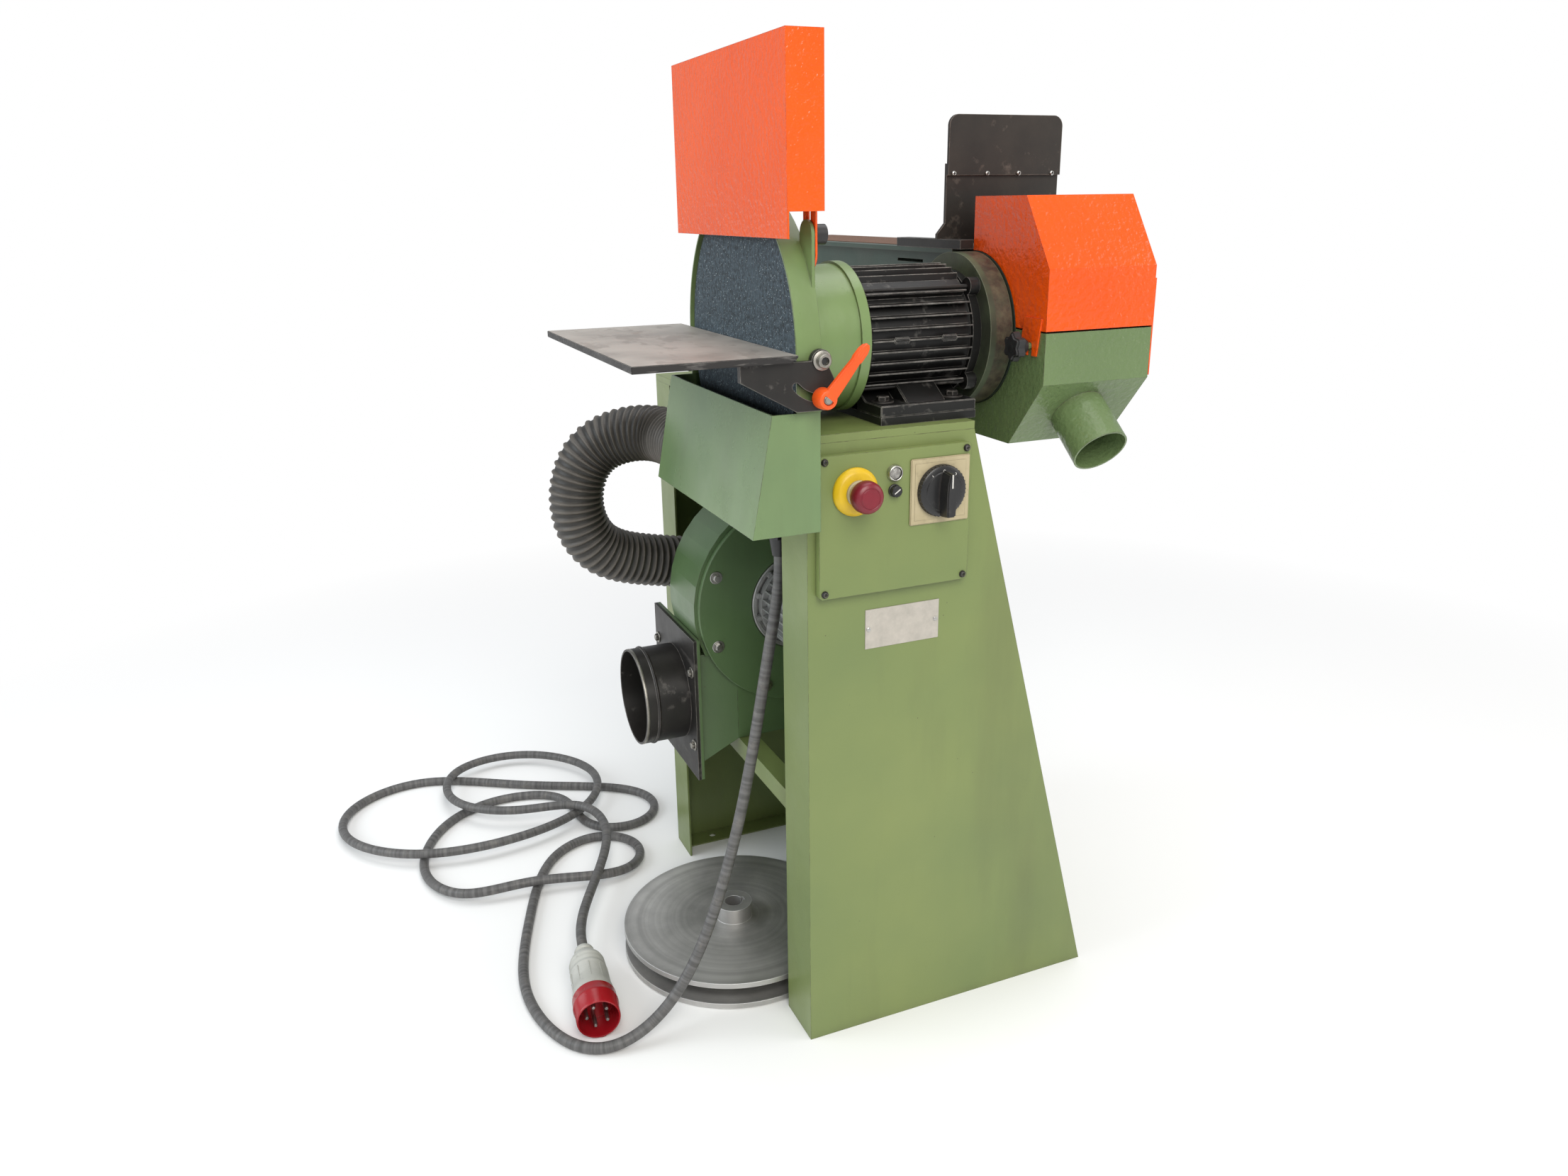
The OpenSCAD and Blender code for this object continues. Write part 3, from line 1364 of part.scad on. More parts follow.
// Blower casing: its radius grows ever faster from the left, over the top, to the bottom
function scroll_r(a) = scroll_start_r + (scroll_end_r - scroll_start_r) * pow(max(a, 0) / 270, scroll_growth);
function scroll_point(a, inset) = let (r = scroll_r(a) - inset)
    [blower_x - r * cos(a), blower_z + r * sin(a)];
mouth_top_z = blower_z - scroll_start_r * sin(tongue_angle);
duct_x = blower_x - duct_start;
module scroll_outline(inset, reach) {
    polygon(concat(
        [[duct_x - reach, mouth_top_z - inset]],
        [for (i = [0 : scroll_steps]) scroll_point(-tongue_angle + (270 + tongue_angle) * i / scroll_steps, inset)],
        [[duct_x - reach, blower_z - scroll_end_r + inset]]));
}
module blower_casing() color("seagreen") {
    difference() {
        plate_y(blower_y, casing_d) scroll_outline(0, 0);
        plate_y(blower_y + casing_wall, casing_d - 2 * casing_wall) scroll_outline(casing_wall, overrun);
        translate([blower_x, blower_y + casing_wall + overrun, blower_z]) rotate([90, 0, 0])
            cylinder(r = casing_eye_r, h = casing_wall + 2 * overrun);
        translate([blower_x, blower_y + casing_d + overrun, blower_z]) rotate([90, 0, 0])
            cylinder(r = spigot_r - spigot_wall, h = casing_wall + 2 * overrun);
    }
}
module blower_face(y) {
    translate([blower_x, y, blower_z]) rotate([90, 0, 0]) children();
}
module blower_cover() color("seagreen") {
    blower_face(blower_y) {
        ring(cover_d / 2, bm_shaft_r + running_fit, cover_t);
        translate([0, 0, cover_t]) ring(motor_neck_r + cover_rib_t, motor_neck_r, bm_neck_l);
        for (i = [0 : cover_ribs - 1]) rotate(360 * i / cover_ribs)
            translate([motor_neck_r + cover_rib_t / 2, -cover_rib_t / 2, cover_t])
                cube([cover_bolt_ring - motor_neck_r - 3 * cover_rib_t, cover_rib_t, bm_neck_l / 2]);
        for (i = [0 : cover_bolts - 1]) rotate(360 * (i + 0.5) / cover_bolts)
            translate([cover_bolt_ring, 0, cover_t]) hex_bolt(cover_bolt_r, cover_bolt_h);
    }
}
module blower_motor() color("silver") {
    blower_face(blower_y - cover_t) {
        cylinder(r = motor_neck_r - running_fit, h = bm_neck_l);
        translate([0, 0, bm_neck_l]) linear_extrude(bm_l) {
            circle(r = bm_r);
            fin_ring(bm_r, bm_fin_h, bm_fins, box_from, box_to);
        }
        translate([0, 0, bm_neck_l + bm_l]) difference() {
            cylinder(r = bm_r + bm_fin_h, h = cowl_l);
            translate([0, 0, -overrun]) cylinder(r = bm_r + bm_fin_h - cowl_wall, h = cowl_l - cowl_wall + overrun);
            for (i = [0 : cowl_slots - 1]) rotate(360 * i / cowl_slots)
                translate([bm_r * 0.3, -cowl_wall, cowl_l - 2 * cowl_wall])
                    cube([bm_r * 0.6, 2 * cowl_wall, 3 * cowl_wall]);
        }
        translate([bm_r - 3 * overrun, -bm_box_w / 2, bm_neck_l + (bm_l - bm_box_l) / 2])
            cube([bm_box_h, bm_box_w, bm_box_l]);
    }
}
module impeller() color("dimgray") {
    blower_face(blower_y + casing_wall + fan_w) {
        ring(fan_r, fan_hub_r, fan_back_t);
        ring(fan_hub_r + overrun, bm_shaft_r, fan_w);
        translate([0, 0, fan_w - fan_back_t]) ring(fan_r, fan_eye_r, fan_back_t / 2);
        for (i = [0 : fan_blades - 1]) rotate(360 * i / fan_blades)
            translate([fan_eye_r, -fan_blade_t / 2, 0]) cube([fan_r - fan_eye_r - fan_blade_t, fan_blade_t, fan_w - fan_back_t]);
    }
    blower_face(blower_y + casing_wall + fan_w) cylinder(r = bm_shaft_r, h = fan_w + casing_wall + cover_t / 2);
}
// Bend that takes the hose into the back of the blower
bend_start_y = blower_y + casing_d + elbow_flange_t + elbow_lead;
module bend_frame() {
    translate([blower_x, bend_start_y, blower_z]) rotate([0, elbow_turn, 0])
        translate([-elbow_bend_r, 0, 0]) children();
}
module inlet_elbow() color("darkslategray") {
    bore = spigot_r - spigot_wall;
    outer = spigot_r + spigot_wall;
    translate([blower_x, blower_y + casing_d, blower_z]) rotate([-90, 0, 0]) {
        ring(elbow_flange_r, bore - elbow_step, elbow_flange_t);
        ring(outer + elbow_step, bore - elbow_step, elbow_flange_t + elbow_lead);
    }
    bend_frame() {
        rotate_extrude(angle = 90) translate([elbow_bend_r, 0]) difference() {
            circle(r = outer);
            circle(r = bore);
        }
        translate([0, elbow_bend_r, 0]) rotate([0, -90, 0]) {
            ring(elbow_collar_r, bore - elbow_step, hose_seat);
            ring(spigot_r, bore - elbow_step, spigot_l);
        }
    }
}
// Duct that widens from the casing's mouth to the outlet plate
module duct_hull(inset, reach) {
    low = blower_z - scroll_end_r;
    hull() {
        translate([duct_x - eps, blower_y + inset, low + inset])
            cube([eps + reach, casing_d - 2 * inset, mouth_top_z - low - 2 * inset]);
        translate([counter_x - reach, outlet_y - plate_w / 2 + duct_clear + inset, outlet_z - plate_h / 2 + duct_clear
            + inset]) cube([eps + reach, plate_w - 2 * duct_clear - 2 * inset, mouth_top_z - outlet_z + plate_h / 2
            - duct_clear - 2 * inset]);
    }
}
module outlet_duct() color("seagreen") {
    difference() {
        union() {
            duct_hull(0, 0);
            translate([counter_x - plate_t, outlet_y - plate_w / 2, outlet_z - plate_h / 2])
                cube([plate_t, plate_w, plate_h]);
        }
        duct_hull(casing_wall, plate_t + overrun);
    }
}
module outlet_spigot() color("dimgray") {
    x = counter_x - 2 * plate_t;
    difference() {
        union() {
            translate([x, outlet_y - plate_w / 2, outlet_z - plate_h / 2]) cube([plate_t, plate_w, plate_h]);
            translate([x, outlet_y, outlet_z]) rotate([0, -90, 0]) cylinder(r = outlet_d / 2, h = outlet_l);
        }
        translate([x + plate_t + overrun, outlet_y, outlet_z]) rotate([0, -90, 0])
            cylinder(r = outlet_d / 2 - spigot_sheet, h = outlet_l + plate_t + 2 * overrun);
    }
    for (sy = [-1, 1], sz = [-1, 1])
        translate([x, outlet_y + sy * (plate_w / 2 - flange_bolt_inset), outlet_z + sz * flange_bolt_rise])
            rotate([0, -90, 0]) hex_bolt(flange_bolt_r, flange_bolt_h);
}

// Spare backing discs, one on the other
module spare_disc(z) {
    translate([spare_x, spare_y, z]) difference() {
        union() {
            round_disc(disc_t, disc_d / 2);
            translate([0, 0, disc_t]) cylinder(r = hub_d / 2, h = hub_l);
        }
        translate([0, 0, -overrun]) cylinder(r = spare_bore_r, h = disc_t + hub_l + 2 * overrun);
        translate([0, -key_w / 2, -overrun]) cube([spare_bore_r + key_d, key_w, disc_t + hub_l + 2 * overrun]);
    }
}
module spare_disc_low() color("silver") spare_disc(0);
module spare_disc_high() color("silver") spare_disc(disc_t + hub_l);

// Power cord
module cord_gland() color("black") {
    box_low = lid_z + lid_h - lid_overlap / 2 - control_h;
    translate([cord_exit[0], cord_exit[1], 0]) {
        translate([0, 0, cord_exit[2]]) cylinder(r1 = cord_r + gland_lip, r2 = gland_r, h = gland_l - gland_nut_l);
        translate([0, 0, cord_exit[2] + gland_l - gland_nut_l])
            cylinder(r = gland_nut_r, h = box_low - cord_exit[2] - gland_l + gland_nut_l, $fn = 6);
    }
}
module power_cord() color("black") {
    route = concat([cord_exit], cord_route, [plug_end]);
    sweep(curve(route, cord_rings), cord_r, cord_sides, [1, 0, 0]);
}
module plug_place() {
    translate(plug_end) rotate([0, 0, -plug_turn]) rotate([90, 0, 0]) children();
}
module plug_body() color("lightgray") plug_place() {
    rotate_extrude() polygon([
        [0, plug_seat], [plug_neck_r, plug_seat], [plug_neck_r + plug_ridge, plug_ridge_z],
        [plug_neck_r + plug_ridge, plug_ridge_z + plug_ridge_l], [plug_neck_r, plug_neck_l],
        [plug_r - plug_edge, plug_cone_l], [plug_r, plug_cone_l + 2 * plug_edge], [plug_r, plug_l], [0, plug_l]
    ]);
}
module plug_collar() color("red") plug_place() translate([0, 0, plug_l]) {
    ring(plug_collar_r, plug_collar_r - collar_wall, collar_len);
    cylinder(r = plug_collar_r, h = collar_wall);
    for (i = [0 : pin_count - 1]) rotate(360 * i / pin_count) translate([pin_ring_r, 0, 0]) cylinder(r = pin_r, h = pin_l);
}

stand();
top_plate();
blower_rails();
control_box();
control_lid();
stop_button_base();
stop_button();
pilot_lamp();
fuse_cap();
switch_plate();
switch_knob();
motor_base();
motor_frame();
motor_shields();
terminal_box();
foot_bolts();
rotor_shaft();
drum();
disc_housing();
disc_plate();
abrasive_disc();
guard();
guard_knobs();
table();
trunnions();
pivot_bolts();
clamp_lever();
rear_clamp_lever();
chute();
dust_hose();
swivel_ring();
arm_hub();
arm_frame();
platen();
sanding_belt();
contact_wheel();
idler_wheel();
idler_slide();
tension_spring();
tension_lever();
tracking_knob();
lower_hood();
upper_hood();
hood_knob();
stop_bar();
work_stop();
blower_casing();
blower_cover();
blower_motor();
impeller();
inlet_elbow();
outlet_duct();
outlet_spigot();
spare_disc_low();
spare_disc_high();
cord_gland();
power_cord();
plug_body();
plug_collar();
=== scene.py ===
# Looks of the belt and disc sander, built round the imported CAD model.
# Shapes are in millimetres in the CAD's frame and turn into metres where meshes are made.
import math

import bmesh
import bpy
from mathutils import Matrix, Vector


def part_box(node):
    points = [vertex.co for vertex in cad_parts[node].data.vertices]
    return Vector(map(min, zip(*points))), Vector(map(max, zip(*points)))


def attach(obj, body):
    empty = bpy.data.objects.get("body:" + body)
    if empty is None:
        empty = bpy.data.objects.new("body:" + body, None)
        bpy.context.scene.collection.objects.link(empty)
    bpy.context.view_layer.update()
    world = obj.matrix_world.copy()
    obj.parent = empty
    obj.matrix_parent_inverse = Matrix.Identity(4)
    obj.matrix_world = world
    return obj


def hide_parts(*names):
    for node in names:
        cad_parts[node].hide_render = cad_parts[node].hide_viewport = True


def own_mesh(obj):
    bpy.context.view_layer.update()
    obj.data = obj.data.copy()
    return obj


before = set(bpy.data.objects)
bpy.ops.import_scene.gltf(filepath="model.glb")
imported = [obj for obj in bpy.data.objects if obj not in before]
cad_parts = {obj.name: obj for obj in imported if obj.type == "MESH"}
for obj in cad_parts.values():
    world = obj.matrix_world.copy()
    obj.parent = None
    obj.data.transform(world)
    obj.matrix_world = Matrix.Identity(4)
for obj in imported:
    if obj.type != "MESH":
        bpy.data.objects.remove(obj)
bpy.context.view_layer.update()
MM = 0.001


# ------------------------ camera
# Metres, degrees and millimetres of lens, fitted to the edges in the photograph.
CAMERA_AT = (-0.778, -1.5237, 1.128)
CAMERA_YAW = 22.89
CAMERA_PITCH = -18.58
CAMERA_ROLL = -0.85
LENS = 26.35
SENSOR = 36
FAR_CLIP = 100


def turn(axis, degrees):
    return Matrix.Rotation(math.radians(degrees), 4, axis)


def add_camera():
    data = bpy.data.cameras.new("camera")
    data.lens = LENS
    data.sensor_width = SENSOR
    data.sensor_fit = "HORIZONTAL"
    data.clip_end = FAR_CLIP
    obj = bpy.data.objects.new("camera", data)
    bpy.context.scene.collection.objects.link(obj)
    aim = turn("Z", -CAMERA_YAW) @ turn("X", 90 + CAMERA_PITCH) @ turn("Z", CAMERA_ROLL)
    obj.matrix_world = Matrix.Translation(CAMERA_AT) @ aim
    bpy.context.scene.camera = obj


# ------------------------ materials
SHADE_SAMPLES = 6


class Look:
    """A node-based material, built one node at a time."""

    def __init__(self, name, roughness=0.5, metallic=0.0, **shader):
        self.material = bpy.data.materials.new(name)
        self.material.use_nodes = True
        self.tree = self.material.node_tree
        self.tree.nodes.clear()
        self.shader = self.node("BsdfPrincipled", {"Roughness": roughness, "Metallic": metallic, **shader})
        output = self.node("OutputMaterial")
        self.join(self.shader.outputs[0], output.inputs[0])
        self.place = self.node("TexCoord").outputs["Object"]

    def join(self, source, target):
        self.tree.links.new(source, target)

    def node(self, kind, inputs=None, **settings):
        made = self.tree.nodes.new("ShaderNode" + kind)
        for key, value in settings.items():
            setattr(made, key, value)
        for key, value in (inputs or {}).items():
            self.feed(made.inputs[key], value)
        return made

    def feed(self, socket, value):
        if isinstance(value, bpy.types.NodeSocket):
            self.join(value, socket)
        elif isinstance(value, tuple) and len(value) == 3 and socket.type == "RGBA":
            socket.default_value = (*value, 1)
        else:
            socket.default_value = value

    def stretched(self, scale):
        return self.node("Mapping", {"Vector": self.place, "Scale": scale}).outputs[0]

    def noise(self, scale, detail=3.0, rough=0.55, stretch=None):
        vector = self.stretched(stretch) if stretch else self.place
        inputs = {"Vector": vector, "Scale": scale, "Detail": detail, "Roughness": rough}
        return self.node("TexNoise", inputs).outputs["Fac"]

    def cells(self, scale):
        return self.node("TexVoronoi", {"Vector": self.place, "Scale": scale}).outputs["Distance"]

    def streak(self, way, scale, detail):
        """Noise along one value only, such as a radius or a length."""
        inputs = {"W": self.math("MULTIPLY", way, scale), "Scale": 1.0, "Detail": detail}
        return self.node("TexNoise", inputs, noise_dimensions="1D").outputs["Fac"]

    def steps(self, fac, low, high):
        """0 below low, 1 above high, and a straight line between."""
        inputs = {"Value": fac, "From Min": low, "From Max": high}
        return self.node("MapRange", inputs, clamp=True).outputs[0]

    def vary(self, fac, low, high):
        """Low where fac is 0, high where it is 1."""
        return self.node("MapRange", {"Value": fac, "To Min": low, "To Max": high}).outputs[0]

    def blend(self, fac, a, b):
        made = self.node("Mix", data_type="RGBA")
        self.feed(made.inputs[0], fac)
        self.feed(made.inputs[6], a)
        self.feed(made.inputs[7], b)
        return made.outputs[2]

    def over(self, tone, colour, mask, share):
        """Tone with colour laid over it where both mask and share are high."""
        return self.blend(self.math("MULTIPLY", mask, share), tone, colour)

    def math(self, operation, a, b=0.5):
        made = self.node("Math", operation=operation)
        self.feed(made.inputs[0], a)
        self.feed(made.inputs[1], b)
        return made.outputs[0]

    def edges(self, radius):
        """1 on sharp edges and 0 on flat faces, from a rounded normal."""
        round_normal = self.node("Bevel", {"Radius": radius * MM}, samples=SHADE_SAMPLES).outputs[0]
        normal = self.node("NewGeometry").outputs["Normal"]
        inputs = {0: round_normal, 1: normal}
        dot = self.node("VectorMath", inputs, operation="DOT_PRODUCT").outputs["Value"]
        return self.steps(dot, 0.995, 0.86)

    def upward(self):
        normal = self.node("TexCoord").outputs["Normal"]
        return self.node("SeparateXYZ", {0: normal}).outputs["Z"]

    def lengthways(self):
        """The way along a tube, from the map that lay_lengthways gives it."""
        return self.node("SeparateXYZ", {0: self.node("UVMap", uv_map="along").outputs[0]}).outputs["Y"]

    def shaded_crevices(self, distance):
        """Painted shade mask from ambient occlusion: 1 in corners narrower than distance and 0 in the open.
        """
        shade = self.node("AmbientOcclusion", {"Distance": distance * MM}, samples=SHADE_SAMPLES)
        return self.steps(shade.outputs["AO"], 0.75, 0.25)

    def finish(self, colour, roughness=None, height=None, distance=0.3, rounding=0.0):
        """Joins colour, roughness, bump of a height in millimetres and rounded edges to the shader."""
        self.feed(self.shader.inputs["Base Color"], colour)
        if roughness is not None:
            self.feed(self.shader.inputs["Roughness"], roughness)
        normal = None
        if rounding:
            normal = self.node("Bevel", {"Radius": rounding * MM}, samples=SHADE_SAMPLES).outputs[0]
        if height is not None:
            inputs = {"Height": height, "Distance": distance * MM, "Strength": 1.0}
            if normal:
                inputs["Normal"] = normal
            normal = self.node("Bump", inputs).outputs[0]
        if normal:
            self.feed(self.shader.inputs["Normal"], normal)
        return self.material


def enamel(name, colour, shade, peel=0.12, peel_scale=260, chip=(0.06, 0.045, 0.03), gloss=0.34,
           dirt_and_shade=0.5):
    """Sprayed enamel: orange peel, cloudy tone, patchy painted shade in the corners and chipped, darkened
    edges.
    """
    look = Look(name, roughness=gloss)
    cloud = look.noise(3.2, 4)
    tone = look.blend(look.steps(cloud, 0.32, 0.7), colour, shade)
    runs = look.noise(9, 5, 0.6, stretch=(1, 1, 0.16))
    tone = look.over(tone, chip, look.steps(runs, 0.5, 0.78), 0.45 * dirt_and_shade)
    # Painted shade: the chip colour laid into corners by ambient occlusion, in patches; the dirt share sets
    # it as well as the dirt runs.
    crevice_shade = look.math("MULTIPLY", look.shaded_crevices(22), look.steps(look.noise(26, 4), 0.2, 0.7))
    tone = look.over(tone, chip, crevice_shade, dirt_and_shade)
    broken = look.steps(look.noise(60, 5, 0.65), 0.4, 0.62)
    tone = look.over(tone, chip, look.edges(1.4), broken)
    specks = look.steps(look.cells(55), 0.055, 0.03)
    sparse = look.steps(look.noise(14, 2), 0.55, 0.62)
    tone = look.over(tone, chip, look.math("MULTIPLY", specks, sparse), 0.8)
    rough = look.vary(look.steps(look.noise(18, 4), 0.1, 0.9), gloss - 0.07, gloss + 0.16)
    height = look.noise(peel_scale, 2, 0.45)
    return look.finish(tone, roughness=rough, height=height, distance=peel, rounding=0.9)


def oily_metal(name, colour, shade, bare, wear=1.6):
    """Dark, oily metal whose edges are rubbed bare."""
    gloss = 0.42
    look = Look(name, roughness=gloss, metallic=0.25)
    tone = look.blend(look.steps(look.noise(12, 5, 0.6), 0.35, 0.7), colour, shade)
    scratches = look.noise(30, 4, 0.7, stretch=(1, 0.2, 1))
    tone = look.over(tone, bare, look.steps(scratches, 0.6, 0.72), 0.35)
    tone = look.over(tone, bare, look.edges(wear), look.steps(look.noise(45, 5, 0.7), 0.3, 0.62))
    rough = look.vary(look.noise(22, 4), gloss - 0.12, gloss + 0.18)
    return look.finish(tone, roughness=rough, height=look.noise(180, 4), distance=0.1, rounding=0.6)


RING_PITCH = 1.1


def turned_metal(name, colour, shade, centre, axis, gloss=0.34):
    """Metal turned on a lathe: fine rings about an axis through centre."""
    look = Look(name, roughness=gloss, metallic=0.85)
    middle = tuple(c * MM for c in centre)
    away = look.node("VectorMath", {0: look.place, 1: middle}, operation="SUBTRACT").outputs[0]
    across = tuple(0 if i == "XYZ".index(axis) else 1 for i in range(3))
    away = look.node("VectorMath", {0: away, 1: across}, operation="MULTIPLY").outputs[0]
    radius = look.node("VectorMath", {0: away}, operation="LENGTH").outputs["Value"]
    rings = look.math("SINE", look.math("MULTIPLY", radius, 2 * math.pi / (RING_PITCH * MM)))
    band = look.streak(radius, 90, 4.0)
    stain = look.steps(look.noise(9, 5, 0.62), 0.42, 0.68)
    tone = look.blend(look.steps(band, 0.35, 0.7), colour, shade)
    tone = look.over(tone, tuple(0.45 * c for c in colour), stain, 0.6)
    # Painted highlight: the edges 1.7 times as bright as the metal, white on the brightest.
    edge_highlight = tuple(min(1, 1.7 * c) for c in colour)
    tone = look.blend(look.edges(1.5), tone, edge_highlight)
    rough = look.vary(look.noise(14, 4), gloss - 0.05, gloss + 0.22)
    height = look.math("ADD", rings, look.math("MULTIPLY", look.noise(240, 3), 0.6))
    return look.finish(tone, roughness=rough, height=height, distance=0.02, rounding=0.5)


def plastic(name, colour, shade, gloss=0.42, grain=900, depth=0.05, dirt_and_shade=(0.05, 0.045, 0.04), dirt_and_shade_share=0.5):
    """Moulded plastic with a fine grain, painted shade in its corners and patches of grime."""
    look = Look(name, roughness=gloss)
    tone = look.blend(look.steps(look.noise(25, 4), 0.3, 0.7), colour, shade)
    # Painted shade: the dirt colour laid into corners by ambient occlusion.
    tone = look.over(tone, dirt_and_shade, look.shaded_crevices(6), dirt_and_shade_share)
    tone = look.over(tone, dirt_and_shade, look.steps(look.noise(70, 5, 0.7), 0.58, 0.75), dirt_and_shade_share * 0.6)
    rough = look.vary(look.noise(50, 4), gloss - 0.08, gloss + 0.12)
    return look.finish(tone, roughness=rough, height=look.noise(grain, 2), distance=depth, rounding=0.4)


def plated(name, colour, shade, gloss=0.28, metallic=1.0):
    """Bright plated metal, dulled in patches."""
    look = Look(name, roughness=gloss, metallic=metallic)
    tone = look.blend(look.steps(look.noise(60, 5, 0.65), 0.35, 0.7), colour, shade)
    # Painted shade: darkened in crevices by ambient occlusion.
    tone = look.over(tone, tuple(0.15 * c for c in colour), look.shaded_crevices(3), 0.7)
    rough = look.vary(look.noise(90, 4), gloss - 0.08, gloss + 0.2)
    return look.finish(tone, roughness=rough, height=look.noise(400, 3), distance=0.04, rounding=0.4)


def abrasive(name, colour, shade, sparkle, grain=1100):
    """Abrasive grit on a backing, clogged in patches."""
    look = Look(name, roughness=0.75)
    grit = look.cells(grain)
    coarse = look.noise(grain * 0.45, 3, 0.7)
    tone = look.blend(look.steps(coarse, 0.35, 0.66), colour, shade)
    tips = look.steps(grit, 0.3, 0.16)
    tone = look.over(tone, sparkle, tips, look.steps(look.noise(grain * 0.8, 2), 0.5, 0.62))
    tone = look.over(tone, shade, look.steps(look.noise(14, 5, 0.6), 0.52, 0.72), 0.5)
    height = look.math("ADD", grit, coarse)
    return look.finish(tone, height=height, distance=0.5)


def table_iron():
    """The table's ground top: grey iron with dried stains, and painted shade, near black, on the faces that
    do not face up.
    """
    look = Look("table_iron", roughness=0.45, metallic=0.55)
    stain = look.noise(13, 6, 0.62)
    tone = look.blend(look.steps(stain, 0.36, 0.6), (0.35, 0.325, 0.29), (0.44, 0.415, 0.375))
    islands = look.steps(look.noise(19, 5, 0.6, stretch=(1.5, 0.7, 1)), 0.53, 0.59)
    tone = look.over(tone, (0.24, 0.215, 0.19), islands, 0.5)
    rust = look.steps(look.noise(7, 5, 0.7), 0.6, 0.75)
    tone = look.over(tone, (0.32, 0.19, 0.12), rust, 0.5)
    # Painted shade: faces that do not face up turn near black.
    below = look.steps(look.upward(), 0.6, 0.2)
    tone = look.blend(below, tone, (0.035, 0.033, 0.032))
    fine = look.noise(220, 3, 0.6, stretch=(0.15, 1, 1))
    tone = look.over(tone, (0.55, 0.52, 0.48), look.steps(fine, 0.55, 0.75), 0.25)
    return look.finish(tone, roughness=look.vary(stain, 0.3, 0.66), height=fine, distance=0.05, rounding=0.8)


RING_BAND = (41.5, 67)
RING_FADE = 2.5


def ring_paint():
    """The swivel ring's paint: its rim is rubbed to a brown, oily band."""
    look = Look("ring_paint", roughness=0.45)
    paint = look.blend(look.steps(look.noise(14, 4), 0.35, 0.7), (0.075, 0.1, 0.05), (0.03, 0.035, 0.022))
    along = look.node("SeparateXYZ", {0: look.place}).outputs["X"]
    (low, high), fade = RING_BAND, RING_FADE * MM
    inner = look.steps(along, low * MM, low * MM + fade)
    outer = look.steps(along, high * MM, high * MM - fade)
    band = look.math("MULTIPLY", inner, outer)
    ragged = look.steps(look.noise(38, 6, 0.7), 0.25, 0.5)
    mottle = look.steps(look.noise(55, 6, 0.7), 0.4, 0.65)
    brown = look.blend(mottle, (0.03, 0.022, 0.016), (0.085, 0.075, 0.045))
    tone = look.over(paint, brown, band, ragged)
    tone = look.over(tone, (0.18, 0.2, 0.13), look.edges(1.5), 0.8)
    return look.finish(tone, height=look.noise(120, 5, 0.7), distance=0.3, rounding=0.8)


def hose_plastic():
    """Corrugated hose: painted shade in the grooves and painted light on the crests, with dust on the crests.
    The mesh's v runs along the ribs.
    """
    look = Look("hose_plastic", roughness=0.5)
    off_crest = look.math("ABSOLUTE", look.math("SUBTRACT", look.math("FRACT", look.lengthways()), 0.5))
    crest = look.steps(off_crest, 0.34, 0.08)
    # Painted shade in the grooves, painted light on the crests.
    tone = look.blend(crest, (0.022, 0.02, 0.017), (0.075, 0.066, 0.055))
    dust = look.steps(look.noise(30, 5, 0.65), 0.35, 0.7)
    tone = look.over(tone, (0.14, 0.122, 0.1), look.math("MULTIPLY", dust, crest), 0.6)
    return look.finish(tone, height=look.noise(300, 3), distance=0.08)


def cord_rubber():
    """Rubber-sheathed cord: faint bands across it, scuffs and floor dust. The mesh's v runs along it."""
    look = Look("cord_rubber", roughness=0.5)
    bands = look.streak(look.lengthways(), 150, 3.0)
    tone = look.blend(look.steps(bands, 0.35, 0.68), (0.07, 0.068, 0.066), (0.125, 0.122, 0.12))
    tone = look.over(tone, (0.2, 0.185, 0.165), look.steps(look.noise(50, 5, 0.7), 0.52, 0.72), 0.5)
    return look.finish(tone, height=bands, distance=0.25)


def lamp_lens():
    """Clear lamp lens over a pale reflector with fine rings."""
    look = Look("lamp_lens", roughness=0.08, **{"Transmission Weight": 0.35, "IOR": 1.49})
    tone = look.blend(look.steps(look.noise(260, 3), 0.4, 0.6), (0.5, 0.49, 0.46), (0.3, 0.29, 0.27))
    return look.finish(tone, height=look.cells(700), distance=0.3)


def floor_paint():
    """Pale floor: it takes the object's shadow near it and is plain white further away."""
    look = Look("floor_paint", roughness=0.9)
    path = look.node("LightPath").outputs
    seen = look.math("MAXIMUM", look.math("MAXIMUM", path["Is Camera Ray"], path["Is Glossy Ray"]),
                     path["Is Transmission Ray"])
    radius = look.node("VectorMath", {0: look.place}, operation="LENGTH").outputs["Value"]
    far = look.steps(radius, 1.1, 2.4)
    look.feed(look.shader.inputs["Base Color"], (0.86, 0.86, 0.855))
    glow = look.node("Emission", {"Color": (1.0, 1.0, 1.0), "Strength": 1.0})
    mixed = look.node("MixShader", {0: look.math("MULTIPLY", seen, far)})
    look.join(look.shader.outputs[0], mixed.inputs[1])
    look.join(glow.outputs[0], mixed.inputs[2])
    output = [n for n in look.tree.nodes if n.type == "OUTPUT_MATERIAL"][0]
    look.join(mixed.outputs[0], output.inputs[0])
    return look.material


SPARE_AT = (-244, -32, 0)
SHAFT_AT = (0, -180, 965)
IDLER_AT = (0, 585, 1020)

